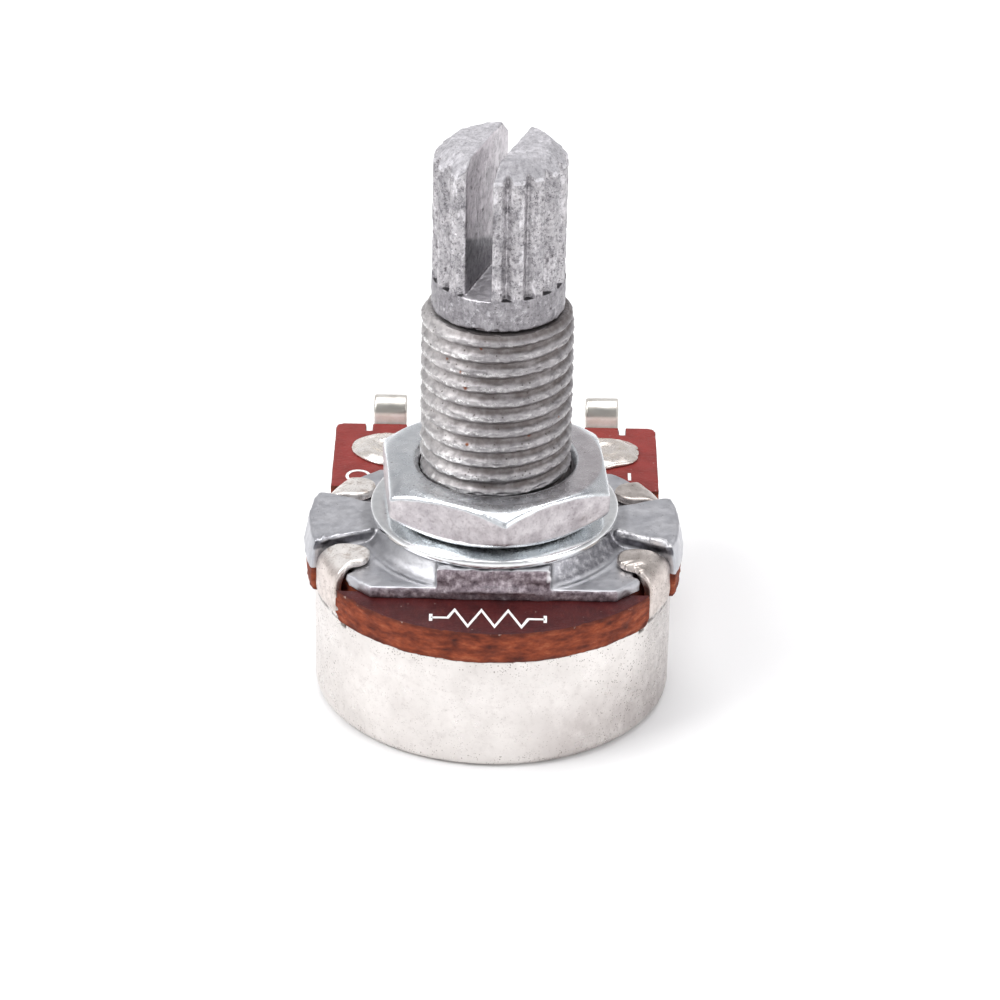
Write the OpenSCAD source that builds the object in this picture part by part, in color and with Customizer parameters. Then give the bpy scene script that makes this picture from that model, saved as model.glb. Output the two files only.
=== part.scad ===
// Panel potentiometer with a split, knurled shaft. All sizes in millimetres.
// Origin: middle of the can's flat end. +Z runs up the shaft, +Y points to the terminals.

/* [Shaft] */
// Diameter over the knurl
shaft_d = 6; // [5.8:0.1:6.2]
// Height of the shaft's end above the can's flat end
shaft_top = 27.27; // [25:0.01:30]
// Diameter of the journal inside the bushing
journal_d = 5; // [4.6:0.1:5.2]
// Number of knurl grooves
knurl_n = 18; // [18:6:24]
// Width of the screwdriver slot
slot_w = 1.3; // [0.8:0.05:1.4]
// Direction of the slot, seen from above, in degrees from the front
slot_turn = -19; // [-45:0.1:45]

/* [Bushing] */
// Thread diameter, over the crests
thread_d = 6.92; // [6.8:0.01:7]
// Height of the bushing's end above the can's flat end
bushing_top = 19.29; // [17:0.01:21]
// Front to back size of the cast plate
plate_y = 11.3; // [10.6:0.1:12]
// Radius of the side wings
wing_r = 8.72; // [8.5:0.01:9]

/* [Nut and washer] */
// Width of the nut across its flats
nut_af = 10; // [9.6:0.1:11]
// Thickness of the nut
nut_h = 2.32; // [2:0.01:3]
// Turn of the nut, in degrees
nut_turn = 5; // [-30:1:30]
// Diameter of the washer
washer_d = 11.4; // [11:0.1:12]

/* [Can and board] */
// Outer diameter of the can
can_d = 16.5; // [16.2:0.1:17]
// Height of the can's rim
can_h = 5.71; // [5.5:0.01:6]
// Sheet thickness of the can
sheet = 0.4; // [0.3:0.05:0.45]
// Diameter of the board
board_d = 17.32; // [17:0.01:18]
// Thickness of the board
board_t = 1.57; // [1.4:0.01:1.6]
// Distance from the shaft's axis to the board's back edge
tail_y = 11.43; // [11:0.01:12.5]
// Spacing of the terminals
pitch = 5.15; // [5:0.01:5.2]

/* [Hidden] */

$fn = 96;
e = 0.01;
board_z = can_h;
top_z = board_z + board_t;          // upper face of the board
plate_t = 0.56;                     // base plate of the casting
wing_t = 1.12;                      // height of the side wings over the board
seat_z = top_z + 1.55;              // seat of the washer
washer_t = 0.45;
nut_z = seat_z + washer_t;
free_z = nut_z + nut_h + 0.15;      // start of the thread above the nut
knurl_z = 20.93;                    // lower end of the knurl
collar_z = bushing_top + 0.08;      // underside of the shaft's head
chamfer_r = 2.2;                    // flat end of the shaft
chamfer_z = shaft_top - 0.67;
can_r = can_d / 2;
spigot_r = 4.0;
spigot_z = 5.5;
ink = 0.05;
rivet_y = 8.6;
tab_front = 4.57;
tab_back = 2.5;
tab_r = can_r + 0.27;               // the tabs bulge past the wall beside the board

// ---- shared 2D shapes ----

// Plan of one folded tab, on the left at the front
module tab_plan() {
    polygon([[-9.2, -tab_front], [-7.15, -tab_front], [-6.7, -4.35], [-6.45, -4.05], [-6.45, -2.35],
             [-6.95, -2.35], [-7.6, -tab_back], [-9.2, -tab_back]]);
    translate([-6.45, -3.2]) circle(r = 0.86);
}

// Room for it in the cast plate
module tab_gap() {
    polygon([[-9.5, -tab_front - 0.14], [-7.1, -tab_front - 0.14], [-6.64, -4.47], [-6.35, -4.2],
             [-6.35, -2.36], [-9.5, -2.36]]);
}

module at_tabs() {
    for (mx = [0, 1], my = [0, 1])
        mirror([mx, 0, 0]) mirror([0, my, 0]) children();
}

module board_outline() {
    difference() {
        union() {
            circle(r = board_d / 2, $fn = 160);
            translate([-7.77, 0]) square([15.54, tail_y - 0.4]);
            translate([-7.37, 0]) square([14.74, tail_y]);
            for (s = [-1, 1]) translate([s * 7.37, tail_y - 0.4]) circle(r = 0.4, $fn = 32);
        }
        circle(r = spigot_r + 0.03);
        // one pair of slits beside each terminal
        for (x = [-pitch, 0, pitch], s = [-1, 1])
            translate([x + s * 1.0 - 0.15, tail_y - 0.75]) square([0.3, 2]);
        for (x = [-pitch, 0, pitch]) translate([x, rivet_y]) circle(r = 0.9, $fn = 40);
    }
}

// Room in the board's rim for the can's tabs
module tab_room() {
    difference() {
        for (mx = [0, 1], my = [0, 1]) mirror([mx, 0, 0]) mirror([0, my, 0])
            translate([-9.5, -4.95]) square([3.6, 4.95 - tab_back + 0.1]);
        circle(r = can_r - sheet - 0.06, $fn = 160);
    }
}

module plate_outline() {
    h = plate_y / 2;
    difference() {
        polygon([[-5.5, -h], [5.55, -h], [6.68, -h + 1.15], [7.8, -h + 3.1],
                 [7.8, h - 3.1], [6.68, h - 1.15], [5.55, h],
                 [-5.5, h], [-6.68, h - 1.15], [-7.8, h - 3.1],
                 [-7.8, -h + 3.1], [-6.68, -h + 1.15]]);
        // room for the tabs
        difference() {
            for (mx = [0, 1], my = [0, 1]) mirror([mx, 0, 0]) mirror([0, my, 0]) tab_gap();
            circle(r = can_r - 0.98, $fn = 160);
        }
    }
}

// ---- parts ----

module rear_can() {
    color("gainsboro") {
        difference() {
            rotate_extrude($fn = 160) polygon(concat(
                [[0, 0]],
                [for (a = [0 : 15 : 90]) [can_r - 0.45 + 0.45 * sin(a), 0.45 - 0.45 * cos(a)]],
                [[can_r, can_h], [can_r - sheet, can_h], [can_r - sheet, sheet + 0.1],
                 [can_r - sheet - 0.1, sheet], [0, sheet]]));
            // relief cuts beside each tab
            at_tabs() {
                translate([-9, -tab_front - 0.16, can_h - 0.42]) cube([3, 0.16, 2]);
                translate([-9, -tab_back, can_h - 0.42]) cube([2, 0.18, 2]);
            }
            // opening in the rim behind, where the tracks leave the can
            translate([-6.2, 3, can_h - 0.8]) cube([12.4, 8, 2]);
            // outside of the pressed stop
            translate([-1.7, 6.4, -e]) cube([3.4, 0.9, 1.4]);
        }
        // pressed stop for the rotor
        difference() {
            translate([-2.1, 6.0, sheet / 2]) cube([4.2, 1.6, 2.0]);
            translate([-1.7, 6.4, -e]) cube([3.4, 0.9, 1.8]);
        }
        // tabs folded over the cast plate
        at_tabs() intersection() {
            rotate_extrude($fn = 160) polygon(concat(
                [[can_r - sheet, can_h - 1], [can_r, can_h - 1], [can_r, can_h - 0.4], [tab_r, can_h + 0.4]],
                [for (a = [0 : 10 : 90]) [tab_r - 1.15 + 1.15 * cos(a), 7.13 + 1.15 * sin(a)]],
                [[5.2, 8.28], [5.2, 8.28 - sheet]],
                [for (a = [90 : -15 : 0]) [tab_r - 1.15 + (1.15 - sheet) * cos(a), 7.13 + (1.15 - sheet) * sin(a)]],
                [[tab_r - sheet, can_h + 0.4], [can_r - sheet, can_h - 0.4]]));
            translate([0, 0, can_h - 0.9]) linear_extrude(4) tab_plan();
        }
    }
}

module circuit_board() {
    color("saddlebrown")
    translate([0, 0, board_z]) linear_extrude(board_t) difference() {
        board_outline();
        tab_room();
    }
}

module resistance_track() {
    color("black")
    translate([0, 0, board_z - ink]) difference() {
        cylinder(r = 6.8, h = ink);
        translate([0, 0, -1]) cylinder(r = 5.3, h = 3);
        translate([0, 0, -1]) linear_extrude(3) polygon([[0, 0], [-3.64, 10], [3.64, 10]]);
    }
}

module track_end_pads() {
    color("silver")
    for (s = [0, 1]) mirror([s, 0, 0])
        translate([0, 0, board_z - ink]) linear_extrude(ink) difference() {
            union() {
                polygon([[-1.86, 5.1], [-2.36, 6.5], [-4.3, 9.6], [-5.9, 9.0], [-5.4, 8.0], [-3.1, 6.05], [-3.1, 5.1]]);
                translate([-pitch, rivet_y]) circle(r = 1.4, $fn = 48);
            }
            translate([-pitch, rivet_y]) circle(r = 0.9, $fn = 40);
            // it starts where the track ends
            difference() { circle(r = 6.8); polygon([[0, 0], [-3.63, 10], [3.63, 10]]); }
            circle(r = 5.3);
        }
}

module collector_ring() {
    color("goldenrod")
    translate([0, 0, board_z - 0.1]) linear_extrude(0.1) difference() {
        union() {
            circle(r = 5.0);
            translate([-0.8, 4.5]) square([1.6, 4]);
            translate([0, rivet_y]) circle(r = 1.4, $fn = 48);
        }
        circle(r = 4.25);
        translate([0, rivet_y]) circle(r = 0.9, $fn = 40);
    }
}

module bushing_plate() {
    color("lightslategray")
    difference() {
        union() {
            // base plate and centring spigot
            translate([0, 0, top_z]) linear_extrude(plate_t) plate_outline();
            translate([0, 0, spigot_z]) cylinder(r = spigot_r, h = top_z - spigot_z + e);
            // flared boss under the washer
            translate([0, 0, top_z + plate_t - e])
                cylinder(r1 = 5.85, r2 = 5.2, h = seat_z - top_z - plate_t + e);
            // square boss at the front and at the back
            for (s = [-1, 1]) translate([-2.55, s > 0 ? 2 : -plate_y / 2, top_z])
                cube([5.15, plate_y / 2 - 2, seat_z - top_z]);
            // side wings, slightly drafted
            intersection() {
                translate([0, 0, top_z]) cylinder(r1 = wing_r, r2 = wing_r - 0.2, h = wing_t, $fn = 160);
                for (s = [-1, 1]) translate([0, 0, top_z]) linear_extrude(wing_t)
                    polygon([[s * 3, -0.8], [s * 5.6, -1.33], [s * 9.5, -3],
                             [s * 9.5, 2.3], [s * 7.9, 2.3], [s * 5.6, 1.38], [s * 3, 0.8]]);
            }
            // bushing with a chamfered end; where the nut and washer sit it is
            // at the thread's mean diameter
            translate([0, 0, seat_z - e]) cylinder(d = thread_d - 0.4, h = free_z - seat_z + 2 * e);
            translate([0, 0, free_z]) cylinder(d = thread_d, h = bushing_top - 0.3 - free_z);
            translate([0, 0, bushing_top - 0.3]) cylinder(d1 = thread_d, d2 = thread_d - 0.5, h = 0.3);
        }
        // journal bore
        translate([0, 0, spigot_z - 1]) cylinder(d = journal_d + 0.08, h = 20);
    }
}

module flat_washer() {
    color("whitesmoke")
    translate([0, 0, seat_z]) difference() {
        cylinder(d = washer_d, h = washer_t);
        translate([0, 0, -1]) cylinder(r = thread_d / 2 + 0.14, h = 3);
    }
}

module hex_nut() {
    r = nut_af / 2 / cos(30);
    color("lightsteelblue")
    translate([0, 0, nut_z]) difference() {
        intersection() {
            rotate([0, 0, nut_turn - 90]) cylinder(r = r, h = nut_h, $fn = 6);
            // 30 degree chamfers above and below
            rotate_extrude() polygon([[0, 0], [nut_af / 2 - 0.55, 0], [r + 0.2, (r + 0.75 - nut_af / 2) * tan(30)],
                                      [r + 0.2, nut_h - (r + 0.26 - nut_af / 2) * tan(30)],
                                      [nut_af / 2 - 0.06, nut_h], [0, nut_h]]);
        }
        translate([0, 0, -1]) cylinder(r = thread_d / 2 + 0.04, h = 5);
        // countersinks
        translate([0, 0, nut_h - 0.27]) cylinder(r1 = thread_d / 2 + 0.04, r2 = thread_d / 2 + 0.32, h = 0.28);
        translate([0, 0, -0.01]) cylinder(r2 = thread_d / 2 + 0.04, r1 = thread_d / 2 + 0.32, h = 0.28);
    }
}

// Section of the shaft's keyed end and of the hole that takes it
module key_section(r) {
    intersection() {
        circle(r = r, $fn = 64);
        translate([-r - 1, -r - 1]) square([2 * r + 2, r + 1 + r * 0.62]);
    }
}

module shaft() {
    color("silver")
    difference() {
        union() {
            translate([0, 0, collar_z]) cylinder(d = shaft_d, h = knurl_z - collar_z);
            translate([0, 0, knurl_z - e]) cylinder(d = shaft_d - 0.03, h = chamfer_z - knurl_z + e);
            translate([0, 0, chamfer_z]) cylinder(d1 = shaft_d - 0.03, d2 = 2 * chamfer_r, h = shaft_top - chamfer_z);
            translate([0, 0, 4.9]) cylinder(d = journal_d, h = collar_z - 4.9 + e);
            translate([0, 0, 1.5]) linear_extrude(3.4 + e) key_section(2.1);
        }
        // groove for the clip
        translate([0, 0, 4.98]) difference() {
            cylinder(r = 4, h = 0.46);
            translate([0, 0, -1]) cylinder(r = 2.0, h = 3);
        }
        // knurl grooves
        for (i = [0 : knurl_n - 1]) rotate([0, 0, 7 + i * 360 / knurl_n])
            translate([0, -shaft_d / 2, knurl_z - 0.05]) linear_extrude(20)
                polygon([[-0.3, -0.06], [0, 0.27], [0.3, -0.06], [0.3, -1], [-0.3, -1]]);
        // slot
        rotate([0, 0, slot_turn]) translate([-slot_w / 2, -5, knurl_z - 0.08]) cube([slot_w, 10, 20]);
    }
}

module shaft_clip() {
    color("dimgray")
    translate([0, 0, 5.0]) linear_extrude(0.4) difference() {
        circle(r = 3.7);
        circle(r = 2.02);
        translate([-1.1, 0]) square([2.2, 5]);
    }
}

module rotor() {
    color("darkslategray")
    difference() {
        union() {
            translate([0, 0, 1.7]) cylinder(r = 3.4, h = 3.1);
            translate([0, 0, 2.8]) cylinder(r = 6.8, h = 0.8);
            // stop lug
            intersection() {
                translate([0, 0, 1.5]) cylinder(r = 7.4, h = 2.1);
                translate([-0.9, -8, 1.5]) cube([1.8, 2.2, 2.1]);
            }
            // pegs that hold the wiper
            for (a = [-12, 12]) rotate([0, 0, a]) translate([0, -5.3, 3.5]) cylinder(r = 0.3, h = 0.5, $fn = 32);
        }
        translate([0, 0, 1]) linear_extrude(6) key_section(2.12);
    }
}

module wiper() {
    color("orange")
    difference() {
        union() {
            // base of the spring
            translate([0, 0, 3.6]) linear_extrude(0.2) intersection() {
                difference() { circle(r = 6.6); circle(r = 3.9); }
                polygon([[0, 0], [-3, -8], [3, -8]]);
            }
            // two outer fingers for the track and two inner ones for the ring, to each side
            for (s = [0, 1], p = [[1.1, 6.35], [1.1, 5.85], [1, 4.65], [1, 4.2]]) mirror([s, 0, 0])
                translate([p[0], -p[1], 3.65]) rotate([0, 0, 28]) {
                    rotate([0, -32, 0]) cube([3.29, 0.3, 0.15]);
                    // rounded contact at the end
                    translate([2.72, 0.3, 5.36 - 3.65]) rotate([90, 0, 0]) cylinder(r = 0.22, h = 0.3, $fn = 24);
                }
        }
        for (a = [-12, 12]) rotate([0, 0, a]) translate([0, -5.3, 3]) cylinder(r = 0.32, h = 2, $fn = 32);
    }
}

// One terminal: a strip under the board that turns up behind it and hooks over
module terminal(x, drop) {
    t = 0.4;
    z0 = board_z - drop - t;
    y0 = 11.55;
    color("gainsboro")
    translate([x, 0, 0]) {
        difference() {
            union() {
                translate([-0.8, rivet_y, z0]) cube([1.6, y0 - 0.3 - rivet_y, t]);
                translate([0, rivet_y, z0]) cylinder(r = 1.45, h = t, $fn = 64);
            }
            translate([0, rivet_y, z0 - 1]) cylinder(r = 0.9, h = 3, $fn = 40);
        }
        translate([-0.8, 0, 0]) rotate([90, 0, 90]) linear_extrude(1.6) {
            // lower bend
            intersection() {
                translate([y0 - 0.3, z0]) square([t + 0.3, 0.7]);
                translate([y0 - 0.3, z0 + 0.7]) difference() {
                    circle(r = 0.7, $fn = 64);
                    circle(r = 0.3, $fn = 32);
                }
            }
            // rising leg
            translate([y0, z0 + 0.7]) square([t, 7.6 - z0 - 0.7]);
            // hook
            translate([y0 + 0.75, 7.6]) difference() {
                circle(r = 0.75, $fn = 64);
                circle(r = 0.35, $fn = 48);
                translate([-2, -2]) square([4, 2]);
            }
            translate([y0 + 1.1, 6.7]) square([t, 0.9]);
        }
    }
}

module terminal_1() { terminal(pitch, ink); }
module terminal_2() { terminal(0, 0.1); }
module terminal_3() { terminal(-pitch, ink); }

module terminal_rivets() {
    color("tan")
    for (x = [-pitch, 0, pitch]) translate([x, rivet_y, 0])
        rotate_extrude($fn = 64) polygon([[0.5, 4.95], [1.35, 4.95], [1.35, board_z - (x == 0 ? 0.5 : 0.45)],
            [0.88, board_z - (x == 0 ? 0.5 : 0.45)], [0.88, top_z], [1.65, top_z], [1.55, top_z + 0.16],
            [0.9, top_z + 0.3], [0.62, top_z + 0.12], [0.5, top_z - 0.3]]);
}

rear_can();
circuit_board();
resistance_track();
track_end_pads();
collector_ring();
bushing_plate();
flat_washer();
hex_nut();
shaft();
shaft_clip();
rotor();
wiper();
terminal_1();
terminal_2();
terminal_3();
terminal_rivets();
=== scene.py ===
import math

import bpy
import numpy as np
from mathutils import Matrix, Vector


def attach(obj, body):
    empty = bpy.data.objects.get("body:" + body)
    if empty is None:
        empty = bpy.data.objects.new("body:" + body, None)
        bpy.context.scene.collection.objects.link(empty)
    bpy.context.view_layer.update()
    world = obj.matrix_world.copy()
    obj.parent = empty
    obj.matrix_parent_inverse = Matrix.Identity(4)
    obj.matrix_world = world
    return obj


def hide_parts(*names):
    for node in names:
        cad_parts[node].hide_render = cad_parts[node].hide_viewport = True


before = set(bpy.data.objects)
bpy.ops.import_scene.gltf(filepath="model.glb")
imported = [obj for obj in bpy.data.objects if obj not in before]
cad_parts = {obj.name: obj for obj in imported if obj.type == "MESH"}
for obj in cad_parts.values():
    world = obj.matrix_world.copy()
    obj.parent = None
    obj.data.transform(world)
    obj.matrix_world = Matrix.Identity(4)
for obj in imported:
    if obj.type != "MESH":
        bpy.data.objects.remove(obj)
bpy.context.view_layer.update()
MM = 0.001
F4 = np.float32


# ------------------------------------------------------------------ camera
def make_camera():
    dist, high, focal, pitch, roll, pan = 165.0, 98.878, 4080.6, 0.4971, 0.0190, 0.0015
    cp, sp, ca, sa = math.cos(pitch), math.sin(pitch), math.cos(pan), math.sin(pan)
    fwd = Vector((sa * cp, ca * cp, -sp))
    right = Vector((ca, -sa, 0.0))
    up = right.cross(fwd)
    cr, sr = math.cos(roll), math.sin(roll)
    r2 = cr * right + sr * up
    u2 = -sr * right + cr * up
    cam = bpy.data.cameras.new("camera")
    cam.sensor_width = 36.0
    cam.lens = focal * 36.0 / 1000.0
    cam.clip_start = 0.01
    cam.clip_end = 10.0
    ob = bpy.data.objects.new("camera", cam)
    bpy.context.scene.collection.objects.link(ob)
    back = -fwd
    ob.matrix_world = Matrix((
        (r2.x, u2.x, back.x, 0.0),
        (r2.y, u2.y, back.y, -dist * MM),
        (r2.z, u2.z, back.z, high * MM),
        (0.0, 0.0, 0.0, 1.0)))
    bpy.context.scene.camera = ob


make_camera()


# ------------------------------------------------------------------ distance fields on a grid, in mm
def axes(lo, hi, h):
    return [np.arange(int(math.ceil((b - a) / h)) + 2, dtype=F4) * F4(h) + F4(a) for a, b in zip(lo, hi)]


def xyz(ax):
    return ax[0][:, None, None], ax[1][None, :, None], ax[2][None, None, :]


def smin(a, b, k):
    h = np.maximum(k - np.abs(a - b), 0) / k
    return np.minimum(a, b) - h * h * (k * 0.25)


def smax(a, b, k):
    return -smin(-a, -b, k)


def ext(d2, dz, r=0.0):
    """A flat shape's distance and a height's distance, joined with the edge rounded by r."""
    a, b = d2 + r, dz + r
    return np.minimum(np.maximum(a, b), 0) + np.sqrt(np.maximum(a, 0) ** 2 + np.maximum(b, 0) ** 2) - r


def poly2(X, Y, pts):
    """Signed distance to a polygon."""
    n = len(pts)
    d = np.full(np.broadcast(X, Y).shape, 1e9, F4)
    s = np.ones(d.shape, F4)
    for i in range(n):
        ax_, ay = pts[i]
        bx, by = pts[(i + 1) % n]
        ex, ey = bx - ax_, by - ay
        wx, wy = X - ax_, Y - ay
        t = np.clip((wx * ex + wy * ey) / (ex * ex + ey * ey), 0, 1)
        qx, qy = wx - ex * t, wy - ey * t
        d = np.minimum(d, qx * qx + qy * qy)
        c1, c2, c3 = Y >= ay, Y < by, ex * wy > ey * wx
        flip = (c1 & c2 & c3) | (~c1 & ~c2 & ~c3)
        s = np.where(flip, -s, s)
    return (s * np.sqrt(d)).astype(F4)


def box3(X, Y, Z, lo, hi, r):
    c = [(a + b) / 2 for a, b in zip(lo, hi)]
    q = [np.abs(v - m) - (b - a) / 2 + r for v, m, a, b in zip((X, Y, Z), c, lo, hi)]
    out = np.sqrt(np.maximum(q[0], 0) ** 2 + np.maximum(q[1], 0) ** 2 + np.maximum(q[2], 0) ** 2)
    return out + np.minimum(np.maximum(np.maximum(q[0], q[1]), q[2]), 0) - r


def noise(ax, size, seed):
    """Smooth random field from -1 to 1 with the given cell size along x, y and z."""
    rng = np.random.default_rng(seed)
    size = size if isinstance(size, (tuple, list)) else (size,) * 3
    mats = []
    for a, s in zip(ax, size):
        t = (a - a[0]) / s
        i = np.floor(t).astype(int)
        f = t - i
        f = f * f * (3 - 2 * f)
        m = np.zeros((len(a), int(i[-1]) + 2), F4)
        m[np.arange(len(a)), i] = 1 - f
        m[np.arange(len(a)), i + 1] += f
        mats.append(m)
    r = rng.uniform(-1, 1, [m.shape[1] for m in mats]).astype(F4)
    r = np.tensordot(mats[0], r, (1, 0))
    r = np.tensordot(r, mats[1], (1, 1))
    return np.tensordot(r, mats[2], (1, 1))


CORNER = [(0, 0, 0), (1, 0, 0), (0, 1, 0), (1, 1, 0), (0, 0, 1), (1, 0, 1), (0, 1, 1), (1, 1, 1)]
EDGE = [(0, 1), (2, 3), (4, 5), (6, 7), (0, 2), (1, 3), (4, 6), (5, 7), (0, 4), (1, 5), (2, 6), (3, 7)]


def nets(F, ax):
    """The zero surface of a field as quads, one vertex a cell."""
    F = np.ascontiguousarray(F, dtype=F4)
    F = np.where(F == 0, F4(1e-7), F)
    S = F < 0
    n = [s - 1 for s in F.shape]
    cnt = np.zeros(n, np.uint8)
    for dx, dy, dz in CORNER:
        cnt += S[dx:dx + n[0], dy:dy + n[1], dz:dz + n[2]]
    I, J, K = np.nonzero((cnt > 0) & (cnt < 8))
    idx = np.full(n, -1, np.int32)
    idx[I, J, K] = np.arange(len(I))
    V = np.stack([F[I + dx, J + dy, K + dz] for dx, dy, dz in CORNER], 1)
    P = np.zeros((len(I), 3), F4)
    c = np.zeros((len(I), 1), F4)
    off = np.array(CORNER, F4)
    for a, b in EDGE:
        m = (V[:, a] < 0) != (V[:, b] < 0)
        t = np.where(m, V[:, a] / np.where(m, V[:, a] - V[:, b], 1), 0)[:, None]
        P += m[:, None] * (off[a] + t * (off[b] - off[a]))
        c += m[:, None]
    P /= c
    pos = np.stack([a[i] + P[:, k] * (a[i + 1] - a[i]) for k, (a, i) in enumerate(zip(ax, (I, J, K)))], 1)
    quads = []
    for axis in range(3):
        u, v = [(1, 2), (0, 2), (0, 1)][axis]
        sl_a, sl_b = [slice(None)] * 3, [slice(None)] * 3
        sl_a[axis], sl_b[axis] = slice(0, -1), slice(1, None)
        for s in (u, v):
            sl_a[s] = sl_b[s] = slice(1, -1)
        A, B = S[tuple(sl_a)], S[tuple(sl_b)]
        e = np.argwhere(A != B)
        inside = A[e[:, 0], e[:, 1], e[:, 2]]
        e[:, u] += 1
        e[:, v] += 1
        q = []
        for du, dv in ((-1, -1), (0, -1), (0, 0), (-1, 0)):
            w = e.copy()
            w[:, u] += du
            w[:, v] += dv
            q.append(idx[w[:, 0], w[:, 1], w[:, 2]])
        q = np.stack(q, 1)
        turn = ~inside if axis != 1 else inside
        q[turn] = q[turn][:, ::-1]
        quads.append(q)
    return pos, np.concatenate(quads)


def sheet_grid(P, close_u=False):
    """Quads over an (nu, nv, 3) grid of points; faces look towards du x dv."""
    nu, nv = P.shape[:2]
    i = np.arange(nu if close_u else nu - 1)[:, None]
    j = np.arange(nv - 1)[None, :]
    i2 = (i + 1) % nu
    q = np.stack([i * nv + j, i2 * nv + j, i2 * nv + j + 1, i * nv + j + 1], -1).reshape(-1, 4)
    return P.reshape(-1, 3), q


def lathe(prof, n, start=0.0):
    """Turned solid from (r, z) points that run so the outside is on the right of the path going up."""
    prof = np.array(prof, float)
    a = start + np.arange(n) * 2 * math.pi / n
    P = np.stack([prof[None, :, 0] * np.cos(a)[:, None], prof[None, :, 0] * np.sin(a)[:, None],
                  np.broadcast_to(prof[None, :, 1], (n, len(prof)))], -1)
    return sheet_grid(P, True)


def join(*parts):
    V, Q, o = [], [], 0
    for v, q in parts:
        V.append(np.asarray(v, float))
        Q.append([tuple(int(x) + o for x in f) for f in np.asarray(q).tolist()] if not isinstance(q, list)
                 else [tuple(x + o for x in f) for f in q])
        o += len(v)
    return np.concatenate(V), [f for q in Q for f in q]


def raw_mesh(name, V, Q):
    me = bpy.data.meshes.new(name)
    V = np.asarray(V, float) * MM
    Q = Q if isinstance(Q, list) else np.asarray(Q).tolist()
    me.from_pydata(V.tolist(), [], Q)
    me.update()
    return me


def thin(part, tris):
    """Fewer triangles where the surface is plain."""
    V, Q = part
    have = 2 * len(Q)
    if have <= tris:
        return part
    me = raw_mesh("tmp", np.asarray(V) * 1000.0, Q)
    ob = bpy.data.objects.new("tmp", me)
    bpy.context.scene.collection.objects.link(ob)
    mod = ob.modifiers.new("thin", "DECIMATE")
    mod.ratio = tris / have
    ev = ob.evaluated_get(bpy.context.evaluated_depsgraph_get())
    out = bpy.data.meshes.new_from_object(ev)
    n = len(out.vertices)
    co = np.empty(n * 3, F4)
    out.vertices.foreach_get("co", co)
    faces = [tuple(p.vertices) for p in out.polygons]
    bpy.data.objects.remove(ob)
    bpy.data.meshes.remove(me)
    bpy.data.meshes.remove(out)
    return co.reshape(-1, 3).astype(float), faces


def piece(name, part, mats, body, slot, *nodes, faces=None, sharp=None):
    V, Q = part
    me = raw_mesh(name, V, Q)
    me.validate()
    me.shade_smooth()
    if sharp:
        me.set_sharp_from_angle(angle=math.radians(sharp))
    for m in mats:
        me.materials.append(m)
    if faces is not None:
        me.polygons.foreach_set("material_index", faces(me))
    ob = bpy.data.objects.new(name, me)
    bpy.context.scene.collection.objects.link(ob)
    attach(ob, body)
    if nodes:
        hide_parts(*nodes)
    return ob


def centres(me):
    c = np.empty(len(me.polygons) * 3, F4)
    me.polygons.foreach_get("center", c)
    return c.reshape(-1, 3) * 1000.0


# ------------------------------------------------------------------ sizes, in mm, as the frame has them
CAN_R, CAN_H, SHEET = 8.25, 5.71, 0.4
TOP_Z, PLATE_T, WING_T, SEAT_Z = 7.28, 0.56, 1.12, 8.83
NUT_Z, NUT_H, WASH_T = 9.28, 2.32, 0.45
BUSH_TOP, THREAD_R, BORE_R = 19.29, 3.46, 2.54
SHAFT_TOP, KNURL_Z, COLLAR_Z, SLOT_W, SLOT_TURN = 27.27, 20.93, 19.37, 1.3, -19.0
TAIL_Y, PITCH, RIVET_Y, BOARD_R = 11.43, 5.15, 8.6, 8.66
TAB_F, TAB_B, TAB_R = 4.57, 2.5, 8.52


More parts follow.
